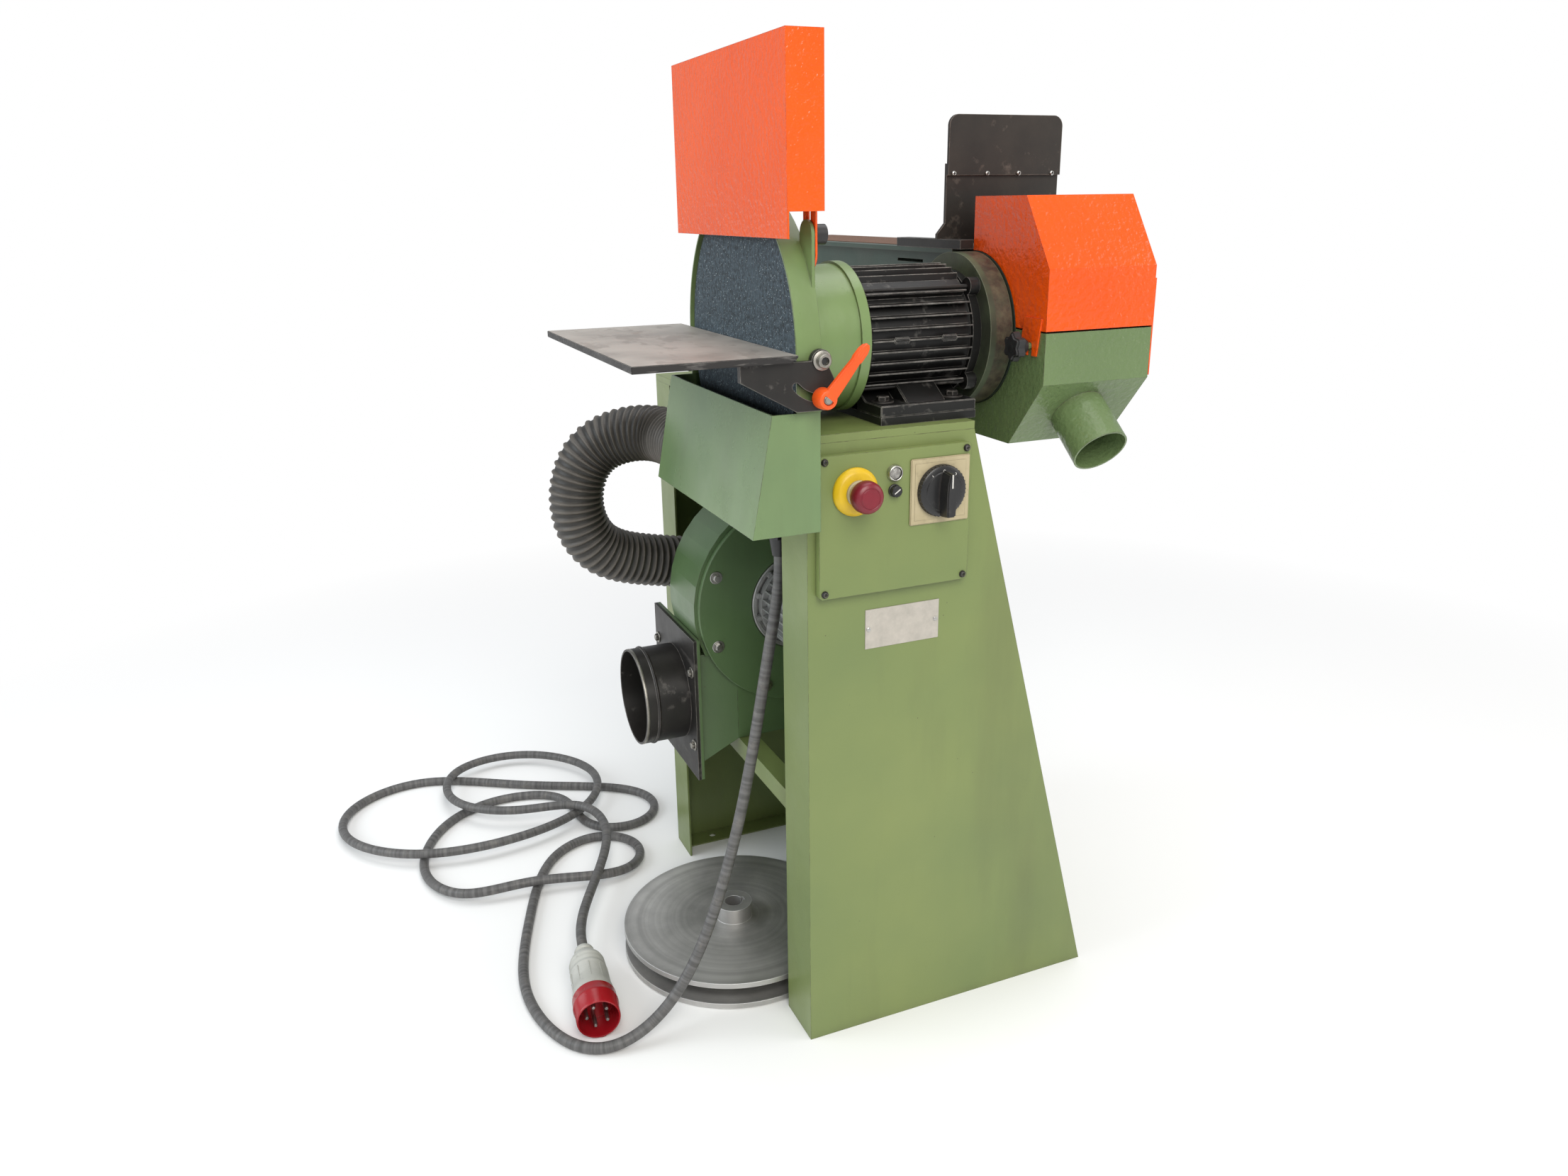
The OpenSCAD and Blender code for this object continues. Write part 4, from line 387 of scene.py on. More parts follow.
GREEN = enamel("green_enamel", (0.19, 0.235, 0.075), (0.15, 0.2, 0.068))
CHUTE_GREEN = enamel("smooth_green", (0.16, 0.24, 0.1), (0.12, 0.19, 0.085), peel=0.08, gloss=0.2)
CAST_GREEN = enamel("cast_green", (0.17, 0.25, 0.09), (0.13, 0.2, 0.075), peel=0.45, peel_scale=60,
                    gloss=0.28)
FAN_GREEN = enamel("fan_green", (0.11, 0.185, 0.075), (0.075, 0.13, 0.055), peel=0.1, gloss=0.3)
HOOD_GREEN = enamel("hood_green", (0.145, 0.21, 0.085), (0.11, 0.165, 0.068), peel=1.4, peel_scale=150,
                    gloss=0.24)
DARK_GREEN = enamel("dark_green", (0.04, 0.075, 0.055), (0.025, 0.045, 0.033), peel=0.1, gloss=0.4)
ORANGE = enamel("orange_enamel", (0.84, 0.098, 0.003), (0.74, 0.075, 0.002), peel=1.5, peel_scale=150,
                chip=(0.3, 0.03, 0.004), gloss=0.19, dirt_and_shade=0.14)
LEVER_ORANGE = plastic("lever_orange", (0.86, 0.1, 0.008), (0.72, 0.075, 0.006), gloss=0.36, dirt_and_shade_share=0.25)
MOTOR_BLACK = oily_metal("motor_black", (0.007, 0.007, 0.0065), (0.014, 0.0135, 0.013), (0.3, 0.285, 0.26),
                         wear=1.2)
STEEL_BLACK = oily_metal("steel_black", (0.012, 0.011, 0.01), (0.026, 0.023, 0.02), (0.24, 0.22, 0.2))
PLATE_BROWN = oily_metal("plate_brown", (0.018, 0.0145, 0.012), (0.034, 0.027, 0.021), (0.2, 0.16, 0.13))
TABLE_IRON = table_iron()
SPARE_STEEL = turned_metal("spare_steel", (0.62, 0.61, 0.59), (0.5, 0.49, 0.475), SPARE_AT, "Z", gloss=0.42)
DISC_STEEL = turned_metal("disc_steel", (0.34, 0.33, 0.315), (0.24, 0.23, 0.22), SHAFT_AT, "X")
IDLER_STEEL = turned_metal("idler_steel", (0.5, 0.49, 0.47), (0.38, 0.37, 0.36), IDLER_AT, "X")
BRIGHT = plated("bright_steel", (0.6, 0.59, 0.56), (0.4, 0.39, 0.37))
DULL_ZINC = plated("dull_zinc", (0.42, 0.4, 0.36), (0.25, 0.24, 0.21), gloss=0.38)
CAST_ALUMINIUM = plated("cast_aluminium", (0.5, 0.5, 0.49), (0.35, 0.35, 0.34), gloss=0.45, metallic=0.8)
DISC_GRIT = abrasive("disc_grit", (0.011, 0.018, 0.023), (0.06, 0.088, 0.108), (0.5, 0.58, 0.6), grain=420)
BELT_GRIT = abrasive("belt_grit", (0.1, 0.045, 0.025), (0.16, 0.08, 0.045), (0.3, 0.2, 0.14))
RING_PAINT = ring_paint()
HOSE = hose_plastic()
CORD = cord_rubber()
RUBBER = plastic("wheel_rubber", (0.02, 0.02, 0.02), (0.035, 0.034, 0.033), gloss=0.7, grain=400,
                 depth=0.15)
BLACK_PLASTIC = plastic("black_plastic", (0.012, 0.012, 0.013), (0.022, 0.022, 0.023), gloss=0.4)
SWITCH_BLACK = plastic("switch_black", (0.012, 0.012, 0.013), (0.02, 0.02, 0.02), gloss=0.28,
                       dirt_and_shade=(0.1, 0.09, 0.08))
BEIGE = plastic("beige_plastic", (0.47, 0.40, 0.25), (0.38, 0.32, 0.19), gloss=0.45)
YELLOW = plastic("yellow_plastic", (0.72, 0.48, 0.01), (0.6, 0.38, 0.01), gloss=0.38, dirt_and_shade=(0.3, 0.2, 0.02))
CRIMSON = plastic("crimson_plastic", (0.2, 0.008, 0.02), (0.15, 0.006, 0.015), gloss=0.33, dirt_and_shade_share=0.2)
PLUG_RED = plastic("plug_red", (0.33, 0.008, 0.014), (0.25, 0.006, 0.01), gloss=0.22, dirt_and_shade_share=0.2)
PLUG_GREY = plastic("plug_grey", (0.5, 0.5, 0.46), (0.4, 0.4, 0.36), gloss=0.4)
MARK_WHITE = plastic("mark_white", (0.62, 0.61, 0.57), (0.5, 0.49, 0.46), gloss=0.5, dirt_and_shade_share=0.2)
PLATE_METAL = plated("plate_metal", (0.56, 0.52, 0.46), (0.46, 0.43, 0.38), gloss=0.42, metallic=0.7)
LENS_CLEAR = lamp_lens()

# What each material and slot of the library is used for: names of CAD nodes.
FINISH = [
    (GREEN, "green_paint", "stand top_plate control_box control_lid blower_rails"),
    (CHUTE_GREEN, "green_paint", "chute"),
    (CAST_GREEN, "green_casting", "disc_housing drum"),
    (FAN_GREEN, "green_paint", "blower_casing blower_cover outlet_duct"),
    (DARK_GREEN, "dark_green_casting", "arm_frame arm_hub"),
    (HOOD_GREEN, "green_paint", "lower_hood"),
    (ORANGE, "orange_paint", "upper_hood guard"),
    (MOTOR_BLACK, "dark_green_casting", "motor_frame motor_shields motor_base terminal_box"),
    (RING_PAINT, "green_casting", "swivel_ring"),
    (TABLE_IRON, "machined_iron", "table"),
    (STEEL_BLACK, "black_steel", "trunnions foot_bolts platen idler_slide stop_bar outlet_spigot"),
    (DULL_ZINC, "bright_metal", "pivot_bolts"),
    (BLACK_PLASTIC, "black_plastic", "guard_knobs tension_lever tracking_knob "
                                     "inlet_elbow cord_gland fuse_cap hood_knob"),
    (DISC_STEEL, "machined_steel", "rotor_shaft disc_plate"),
    (DISC_GRIT, "abrasive", "abrasive_disc"),
    (BELT_GRIT, "abrasive", "sanding_belt"),
    (RUBBER, "wheel_rubber", "contact_wheel"),
    (IDLER_STEEL, "aluminium", "idler_wheel"),
    (PLATE_BROWN, "black_steel", "work_stop"),
    (CAST_ALUMINIUM, "aluminium", "blower_motor impeller"),
    (SPARE_STEEL, "machined_steel", "spare_disc_low spare_disc_high"),
    (BEIGE, "beige_plastic", "switch_plate"),
    (YELLOW, "yellow_plastic", "stop_button_base"),
    (CRIMSON, "red_plastic", "stop_button"),
    (BRIGHT, "bright_metal", "pilot_lamp tension_spring"),
    (SWITCH_BLACK, "black_plastic", "switch_knob"),
    (LEVER_ORANGE, "orange_paint", "clamp_lever rear_clamp_lever"),
    (HOSE, "hose_plastic", "dust_hose"),
    (CORD, "cord_rubber", "power_cord"),
    (PLUG_GREY, "grey_plastic", "plug_body"),
    (PLUG_RED, "red_plastic", "plug_collar"),
]


def dress_nodes():
    """Gives the CAD nodes that are shown as they are their materials."""
    for material, slot, names in FINISH:
        for name in names.split():
            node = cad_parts[name]
            node.data.materials.clear()
            node.data.materials.append(material)


# ------------------------ shapes
def placed(origin, up=(0, 0, 1), right=None):
    """Matrix whose z looks along up and whose x lies as near to right as it can."""
    z = Vector(up).normalized()
    x = Vector(right) if right else (Vector((1, 0, 0)) if abs(z.x) < 0.9 else Vector((0, 1, 0)))
    x = (x - x.dot(z) * z).normalized()
    y = z.cross(x)
    return Matrix.Translation(origin) @ Matrix((x, y, z)).transposed().to_4x4()


def lifted(height):
    return Matrix.Translation((0, 0, height))


def circle(radius, count):
    turns = [2 * math.pi * i / count for i in range(count)]
    return [(radius * math.cos(a), radius * math.sin(a)) for a in turns]


class Shape:
    """Parts joined into one piece. Each part has its own place and one of the piece's materials."""

    def __init__(self):
        self.mesh = bmesh.new()

    def add(self, verts, faces, place=None, bevel=0.0, material=0, segments=2, sharp=30):
        part = bmesh.new()
        made = [part.verts.new(v) for v in verts]
        for face in faces:
            part.faces.new([made[i] for i in face])
        bmesh.ops.recalc_face_normals(part, faces=part.faces)
        if bevel:
            edges = [e for e in part.edges if e.is_manifold and e.calc_face_angle(0) > math.radians(sharp)]
            bmesh.ops.bevel(part, geom=edges, offset=bevel, segments=segments, affect="EDGES",
                            clamp_overlap=True)
        if place is not None:
            part.transform(place)
        for face in part.faces:
            face.material_index = material
        held = bpy.data.meshes.new("part")
        part.to_mesh(held)
        part.free()
        self.mesh.from_mesh(held)
        bpy.data.meshes.remove(held)
        return self

    def lathe(self, profile, place=None, count=48, **options):
        """Turns (radius, height) points round z. Points on the axis close it."""
        verts, rows, faces = [], [], []
        for r, h in profile:
            if r == 0:
                rows.append([len(verts)])
                verts.append((0, 0, h))
            else:
                rows.append(list(range(len(verts), len(verts) + count)))
                verts += [(x, y, h) for x, y in circle(r, count)]
        for a, b in zip(rows, rows[1:]):
            for i in range(count):
                j = (i + 1) % count
                loop = [a[i % len(a)], a[j % len(a)], b[j % len(b)], b[i % len(b)]]
                corners = list(dict.fromkeys(loop))
                if len(corners) > 2:
                    faces.append(corners)
        return self.add(verts, faces, place, **options)

    def prism(self, outline, height, place=None, taper=1.0, **options):
        """Raises an outline along z, its far end taper times as large."""
        count = len(outline)
        verts = [(x, y, 0) for x, y in outline] + [(x * taper, y * taper, height) for x, y in outline]
        faces = [list(range(count))[::-1], list(range(count, 2 * count))]
        faces += [[i, (i + 1) % count, count + (i + 1) % count, count + i] for i in range(count)]
        return self.add(verts, faces, place, **options)

    def box(self, low, high, place=None, **options):
        outline = [(low[0], low[1]), (high[0], low[1]), (high[0], high[1]), (low[0], high[1])]
        place = place @ lifted(low[2]) if place is not None else lifted(low[2])
        return self.prism(outline, high[2] - low[2], place, **options)

    def tube(self, path, radii, count, closed_ends=True, **options):
        """Rings of count corners along a path, all of one radius or of one each."""
        verts, faces = [], []
        side = None
        for i, point in enumerate(path):
            axis = (path[min(i + 1, len(path) - 1)] - path[max(i - 1, 0)]).normalized()
            side = Vector((1, 0, 0)) if side is None else side
            side = (side - side.dot(axis) * axis).normalized()
            other = axis.cross(side)
            radius = radii[i] if isinstance(radii, list) else radii
            verts += [point + x * side + y * other for x, y in circle(radius, count)]
        for i in range(len(path) - 1):
            for k in range(count):
                m = (k + 1) % count
                faces.append([i * count + k, i * count + m, (i + 1) * count + m, (i + 1) * count + k])
        if closed_ends:
            faces.append(list(range(count))[::-1])
            faces.append(list(range(len(verts) - count, len(verts))))
        return self.add(verts, faces, **options)

    def make(self, name, materials, body, slot, replaces=(), smooth=35):
        """Turns the parts into an object that rides on a body and takes the place of CAD nodes."""
        mesh = bpy.data.meshes.new(name)
        self.mesh.to_mesh(mesh)
        self.mesh.free()
        mesh.transform(Matrix.Scale(MM, 4))
        mesh.shade_smooth()
        mesh.set_sharp_from_angle(angle=math.radians(smooth))
        for material in materials if isinstance(materials, (list, tuple)) else [materials]:
            mesh.materials.append(material)
        obj = bpy.data.objects.new(name, mesh)
        bpy.context.scene.collection.objects.link(obj)
        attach(obj, body)
        if replaces:
            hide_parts(*replaces)
        return obj


WASHER_T = 1.6


def hex_head(shape, place, radius, height, washer=0.0, material=0):
    """Hexagon head with a chamfered top, on a washer if one is asked for."""
    lift = 0.0
    if washer:
        lift = WASHER_T
        ring = [(0, 0), (washer, 0), (washer, 1.2), (washer - 0.5, lift), (0, lift)]
        shape.lathe(ring, place, 32, material=material)
    shape.prism(circle(radius, 6), height, place @ lifted(lift), bevel=0.7, material=material)
    crown = [(0, 0), (radius * 0.8, 0), (radius * 0.72, 0.5), (0, 0.5)]
    shape.lathe(crown, place @ lifted(lift + height), 32, material=material)


def socket_screw(shape, place, radius, height):
    """Button-head screw of the piece's first material, with a hexagon socket of its second."""
    dome = [(0, 0), (radius, 0), (radius, height * 0.25), (radius * 0.93, height * 0.6),
            (radius * 0.72, height * 0.92), (radius * 0.5, height), (radius * 0.5, height * 0.5),
            (0, height * 0.5)]
    shape.lathe(dome, place, 24)
    shape.prism(circle(radius * 0.44, 6), 0.3, place @ lifted(height * 0.5), material=1)


# ------------------------ curves shared with the CAD source
def spline(points, steps):
    """The CAD source's smooth curve through its first and last points."""
    p = [Vector(q) for q in points]
    p = [2 * p[0] - p[1], *p, 2 * p[-1] - p[-2]]
    made = []
    for a, b, c, d in zip(p, p[1:], p[2:], p[3:]):
        for k in range(steps):
            t = k / steps
            made.append(((1 - t) ** 3 * a + (3 * t**3 - 6 * t * t + 4) * b
                         + (-3 * t**3 + 3 * t * t + 3 * t + 1) * c + t**3 * d) / 6)
    made.append(Vector(points[-1]))
    return made


def run_of(path):
    """The length run so far at each point of a path."""
    run = [0.0]
    for a, b in zip(path, path[1:]):
        run.append(run[-1] + (b - a).length)
    return run


def evenly(path, count):
    """The path again, in count steps of one length."""
    run = run_of(path)
    made, i = [], 0
    for k in range(count + 1):
        s = run[-1] * k / count
        while i < len(run) - 2 and run[i + 1] < s:
            i += 1
        made.append(path[i].lerp(path[i + 1], (s - run[i]) / (run[i + 1] - run[i])))
    return made


def lay_lengthways(obj, ways, count):
    """Gives a tube of count corners per ring a map whose v is each ring's way along it."""
    layer = obj.data.uv_layers.new(name="along")
    for loop in obj.data.loops:
        ring, corner = divmod(loop.vertex_index, count)
        layer.data[loop.index].uv = (corner / count, ways[ring])


# ------------------------ cord and plug
CORD_D = 16
CORD_SIDES = 16
CORD_STEPS = 12
CORD_EXIT = (-210, -165, 680)
PLUG_END = (-485, -11, 33)
CORD_ROUTE = [
    (-210, -165, 639), (-231, -158, 516), (-280, -180, 298), (-360, -200, 94), (-441, -211, 18),
    (-515, -216, 8), (-567, -157, 8), (-593, -25, 8), (-541, 144, 8), (-478, 330, 8), (-363, 376, 8),
    (-290, 294, 8), (-350, 186, 14), (-514, 239, 28), (-635, 225, 18), (-700, 351, 8), (-653, 506, 8),
    (-537, 592, 8), (-374, 554, 8), (-397, 398, 8), (-294, 353, 8), (-221, 419, 8), (-255, 525, 8),
    (-461, 606, 8), (-638, 746, 8), (-802, 674, 8), (-822, 515, 18), (-700, 383, 27), (-529, 368, 27),
    (-358, 425, 25), (-290, 594, 23), (-421, 749, 22), (-596, 732, 22), (-626, 557, 30), (-503, 448, 37),
    (-371, 448, 44), (-340, 308, 38), (-476, 80, 33),
]
PLUG_TURN = 6.4
PLUG_L = 118


def make_cord(plug_pieces):
    """The cord on the CAD's own route, with its map."""
    path = spline([CORD_EXIT, *CORD_ROUTE, PLUG_END], CORD_STEPS)
    shape = Shape().tube(path, CORD_D / 2, CORD_SIDES)
    obj = shape.make("cord_sheath", CORD, "base", "cord_rubber", ["power_cord"])
    lay_lengthways(obj, [run * MM for run in run_of(path)], CORD_SIDES)


def make_plug():
    """Plug body with its grip ribs, and the collar with its pins."""
    way = turn("Z", -PLUG_TURN) @ Vector((0, -1, 0))
    place = placed(PLUG_END, way, (0, 0, 1))
    body = Shape()
    neck = [(0, 0), (11, 0), (14.5, 1), (15.2, 3), (15.2, 7), (13, 9), (13.5, 13), (17, 16), (21, 22),
            (25, 30), (27, 37), (27, 38.5), (26, 40), (26, 44), (27.4, 45.5), (27.4, 49), (26.4, 51)]
    grip = [(26.6, 56), (28, 58), (28, 61), (27.4, 63), (28.6, 100), (30, 104), (30, PLUG_L), (0, PLUG_L)]
    body.lathe(neck + grip, place, 48)
    ribs, pins = 10, 5
    for i in range(ribs):
        body.box((-1.1, 26.6, 64), (1.1, 28.8, 98), place @ turn("Z", 360 / ribs * i + 18), bevel=0.5)
    body.box((-5, 27.6, 68), (5, 29.3, 82), place @ turn("Z", 150), bevel=0.6)
    grey = body.make("plug_shell", PLUG_GREY, "base", "grey_plastic", ["plug_body"])
    collar = Shape()
    mouth = PLUG_L + 47
    collar.lathe([(0, PLUG_L), (31, PLUG_L), (32.2, PLUG_L + 1), (32.2, PLUG_L + 14), (33, PLUG_L + 16),
                  (33, PLUG_L + 20), (31.6, PLUG_L + 22), (31.6, mouth - 1.5), (30.8, mouth), (29, mouth),
                  (28.6, mouth - 2), (28.6, PLUG_L + 6), (0, PLUG_L + 6)], place, 56)
    collar.box((-4, 29, PLUG_L + 22), (4, 33, mouth - 1), place @ turn("Z", 100), bevel=0.8)
    for i in range(pins):
        pin = place @ turn("Z", 360 / pins * i + 20) @ Matrix.Translation((16, 0, PLUG_L + 6))
        collar.lathe([(0, 0), (3, 0), (3, 32), (2, 34), (0, 34)], pin, 16, material=1)
    red = collar.make("plug_ring", [PLUG_RED, BRIGHT], "base", "red_plastic", ["plug_collar"])
    return [grey, red]


# ------------------------ hose
HOSE_D = 84
HOSE_GROOVE = 4
HOSE_SKIN = 0.3
HOSE_RIBS = 56
HOSE_SIDES = 40
HOSE_STEPS = 14
HOSE_GAP = 0.3
CHUTE_END = Vector((-276, HOSE_GAP, 802))
ELBOW_WAY = Vector((-math.cos(math.radians(12)), 0, math.sin(math.radians(12))))
ELBOW_END = Vector((-115, 181, 552)) + ELBOW_WAY * 51
HOSE_DROP_SHARES = [1.02, 0.98, 0.86, 0.6, 0.34, 0.16]
HOSE_LEFT_SHARES = [0.3, 0.85, 1.35, 1.6, 1.45, 0.95]
HOSE_BACK_SHARES = [1.45, 1.85, 2, 2.02, 2.02, 2.05]


def make_hose():
    """Ribbed hose on the CAD's own route. A rib's profile runs from 0 in the groove to 1 on the crest."""
    turns = []
    for drop, left, back in zip(HOSE_DROP_SHARES, HOSE_LEFT_SHARES, HOSE_BACK_SHARES):
        height = ELBOW_END.z + (CHUTE_END.z - ELBOW_END.z) * drop
        turns.append(Vector((CHUTE_END.x - left * HOSE_D, CHUTE_END.y - HOSE_GAP + back * HOSE_D, height)))
    route = [CHUTE_END, CHUTE_END + Vector((0, HOSE_D, 0)), *turns, ELBOW_END + ELBOW_WAY * HOSE_D, ELBOW_END]
    rib = [0, 0, 0.12, 0.75, 1, 0.75, 0.12, 0]
    path = evenly(spline(route, HOSE_STEPS), HOSE_RIBS * len(rib))
    crest, groove = HOSE_D / 2 - HOSE_SKIN, HOSE_D / 2 - HOSE_GROOVE
    outer = [groove + (crest - groove) * rib[i % len(rib)] for i in range(len(path))]
    shape = Shape().tube(path, outer, HOSE_SIDES, closed_ends=False)
    obj = shape.make("hose_skin", HOSE, "base", "hose_plastic", ["dust_hose"], smooth=70)
    lay_lengthways(obj, [i / len(rib) for i in range(len(path))], HOSE_SIDES)


# ------------------------ controls
PANEL_Y = -312
STAND_Y = -300
FACING = (0, -1, 0)
STOP_AT = (-171.5, 795)
LAMP_AT = (-118, 813)
FUSE_AT = (-118, 791)
SWITCH_AT = (-54, 785)


def on_panel(at, y=PANEL_Y):
    """A place on the front panel, or in front of it, that looks out of it."""
    return placed((at[0], y, at[1]), FACING, (1, 0, 0))


def make_stop_button():
    """Shield with its collar, and the mushroom head, whose stem goes into the collar."""
    base = Shape()
    shield = [(0, 0), (30, 0), (30, 3.4), (29.4, 4.4), (26, 8.6), (24, 9.6), (15.5, 10), (0, 10)]
    base.lathe(shield, on_panel(STOP_AT), 64)
    collar = [(13.5, 10), (16.2, 10), (16.2, 12.5), (14.6, 14), (14.6, 17), (15.2, 18.6), (13, 19), (13, 10)]
    base.lathe(collar, on_panel(STOP_AT), 40, material=1)
    base.make("stop_shield", [YELLOW, BEIGE], "base", "yellow_plastic", ["stop_button_base"])
    head = Shape()
    top = [(0, -3.5), (11, -3.5), (11, 0.2), (17.6, 1.4), (19.4, 3), (20, 6), (19.8, 13), (18.6, 16.4),
           (16.4, 18.6), (13.4, 19.7), (12.8, 19.2), (12.2, 19.2), (11.6, 19.8), (6, 20), (0, 20)]
    head.lathe(top, on_panel(STOP_AT, PANEL_Y - 23), 56)
    head.make("stop_mushroom", CRIMSON, "stop_head", "red_plastic", ["stop_button"])


def make_lamp_and_fuse():
    """Pilot lamp with its lens, and below it the fuse holder's knurled cap."""
    lamp = Shape()
    place = on_panel(LAMP_AT)
    rim = [(0, 0), (10.5, 0), (10.5, 2), (10, 3.4), (9.4, 5.4), (8.6, 6), (7.9, 5.6), (7.9, 1), (0, 1)]
    lamp.lathe(rim, place, 40)
    lamp.lathe([(0, 1), (7.6, 1), (7.6, 3.4), (6.6, 4.4), (4.2, 5.2), (0, 5.5)], place, 32, material=1)
    lamp.make("lamp_bezel", [BRIGHT, LENS_CLEAR], "base", "bright_metal", ["pilot_lamp"])
    fuse = Shape()
    place = on_panel(FUSE_AT)
    fuse.lathe([(0, 0), (8, 0), (8, 2.4), (7, 3), (7, 8.6), (6.2, 9.6), (0, 9.6)], place, 32)
    knurls = 14
    for i in range(knurls):
        fuse.box((-0.5, 6.6, 3.2), (0.5, 7.5, 8.6), place @ turn("Z", i * 360 / knurls), bevel=0.2)
    fuse.box((-4.6, -0.7, 9.4), (4.6, 0.7, 9.9), place @ turn("Z", 35), material=1)
    fuse.make("fuse_holder", [BLACK_PLASTIC, MARK_WHITE], "base", "black_plastic", ["fuse_cap"])


def make_switch():
    """Square plate, and the dial with its grip, its white mark and its numbers."""
    side, thickness = 42, 3
    face = PANEL_Y - thickness
    plate = Shape()
    corners = [(-side, -side), (side, -side), (side, side), (-side, side)]
    plate.prism(corners, thickness, on_panel(SWITCH_AT), bevel=1.2)
    inset = [(x * 0.86, y * 0.86) for x, y in corners]
    plate.prism(inset, 0.25, on_panel(SWITCH_AT, face), bevel=0.15)
    plate.make("switch_shield", BEIGE, "base", "beige_plastic", ["switch_plate"])
    knob = Shape()
    place = on_panel(SWITCH_AT, face - 0.3)
    dial = [(0, 0), (33, 0), (33, 1.6), (32, 3.4), (32, 7), (30.6, 8), (25, 8.4), (24, 9.6), (18, 10.2),
            (0, 10.2)]
    knob.lathe(dial, place, 72)
    teeth = 40
    for i in range(teeth):
        knob.box((-0.8, 31, 1.6), (0.8, 32.9, 7), place @ turn("Z", i * 360 / teeth), bevel=0.3)
    grip = [(-6.5, -31), (6.5, -31), (7.2, -6), (6, 14), (3, 27), (-3, 27), (-6, 14), (-7.2, -6)]
    knob.prism(grip, 19.5, place @ lifted(9.5), taper=0.93, bevel=1.6)
    knob.box((-0.9, 8, 28.6), (0.9, 25, 29.3), place, material=1)
    knob.make("switch_handle", [SWITCH_BLACK, MARK_WHITE], "switch", "black_plastic", ["switch_knob"])
    for text, angle in (("1", 38), ("0", 0), ("2", -38)):
        add_text(text, place @ turn("Z", angle) @ Matrix.Translation((0, 24.6, 8.5)), 8, "switch")


def add_text(text, place, size, body):
    """A raised white number."""
    curve = bpy.data.curves.new("dial_" + text, "FONT")
    curve.body = text
    curve.size = size * MM
    curve.align_x = curve.align_y = "CENTER"
    curve.extrude = 0.12 * MM
    obj = bpy.data.objects.new("dial_" + text, curve)
    bpy.context.scene.collection.objects.link(obj)
    obj.data.materials.append(MARK_WHITE)
    shifted = place.copy()
    shifted.translation *= MM
    obj.matrix_world = shifted
    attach(obj, body)


def make_panel_screws():
    """The control lid's four screws."""
    screws = Shape()
    for x in (-212, -16):
        for z in (669, 834.5):
            socket_screw(screws, on_panel((x, z)), 4.6, 3.6)
    screws.make("lid_screws", [STEEL_BLACK, BLACK_PLASTIC], "base", "black_steel")


def make_nameplate():
    """Bare plate with a rivet at each end, on the stand's front."""
    plate = Shape()
    low, high, thickness = (-150, 582), (-42.5, 635.5), 0.8
    plate.box((*low, 0), (*high, thickness), on_panel((0, 0), STAND_Y), bevel=0.3)
    for x in (low[0] + 5, high[0] - 5):
        rivet = on_panel((x, (low[1] + high[1]) / 2), STAND_Y - thickness)
        plate.lathe([(0, 0), (3.4, 0), (3.1, 0.8), (2, 1.5), (0, 1.8)], rivet, 20, material=1)
    plate.make("nameplate", [PLATE_METAL, BRIGHT], "base", "aluminium")


# ------------------------ levers and knobs
def make_lever(name, y, side, body, node):
    """Clamping lever: a round hub with a slotted screw and a tapered, ribbed handle.

    The front lever's side is -1 and the rear one's is 1."""
    place = placed((-242, y, 922), (0, side, 0), (1, 0, 0))
    lever = Shape()
    hub = [(6.5, 0), (12, 0), (12, 9), (11.2, 16), (10.2, 18.4), (8.6, 19), (6.4, 19), (6.4, 17),
           (4.1, 17), (4.1, 0), (6.5, 0)]
    lever.lathe(hub, place, 40)
    arm = place @ turn("Z", -50 * side)
    outline = [(0, -8), (30, -6.6), (52, -5.2), (55, -6.2), (66, -6), (74, -3.6), (75.5, 0), (74, 3.6),
               (66, 6), (55, 6.2), (52, 5.2), (30, 6.6), (0, 8)]
    lever.prism(outline, 8, arm @ lifted(11) @ turn("Y", -1), bevel=1.6, segments=3)
    for i in range(3):
        lever.box((56, -3.6 + 2.9 * i, 19), (70, -2.2 + 2.9 * i, 20.2), arm, bevel=0.4)
    lever.lathe([(0, 12), (5.6, 12), (5.6, 17.6), (4.8, 18.2), (0, 18.2)], place, 32, material=1)
    lever.box((-4.4, -0.6, 17.9), (4.4, 0.6, 18.25), place @ turn("Z", 30), material=2)
    lever.make(name, [LEVER_ORANGE, DULL_ZINC, BLACK_PLASTIC], body, "orange_paint", [node])


def make_star_knob():
    """Six-lobed knob that clamps the upper hood."""
    place = placed((62, -314, 955), (-1, 0, 0), (0, 0, 1))
    knob = Shape()
    lobes = []
    corners = 72
    for i in range(corners):
        a = 2 * math.pi * i / corners
        r = 16.6 + 2.3 * math.cos(6 * a)
        lobes.append((r * math.cos(a), r * math.sin(a)))
    knob.lathe([(0, 0.4), (8, 0.4), (8, 9), (9, 10), (0, 10)], place, 32)
    knob.prism(lobes, 13, place @ lifted(9), taper=0.94, bevel=2.2, segments=3, sharp=50)
    knob.lathe([(0, 0), (6, 0), (5, 0.3), (0, 0.3)], place @ lifted(22), 24)
    knob.make("star_knob", BLACK_PLASTIC, "star_knob", "black_plastic", ["hood_knob"])


# ------------------------ motors and blower cover
FRAME_X, FRAME_END = -125, 20
ROOT_R, TIP_R = 74, 86
BORE_R = 16
FIN_PITCH = 13.8
FIN_ROOT, FIN_TIP = 1.7, 0.9
ALONG_X = placed(SHAFT_AT, (1, 0, 0), (0, 1, 0))


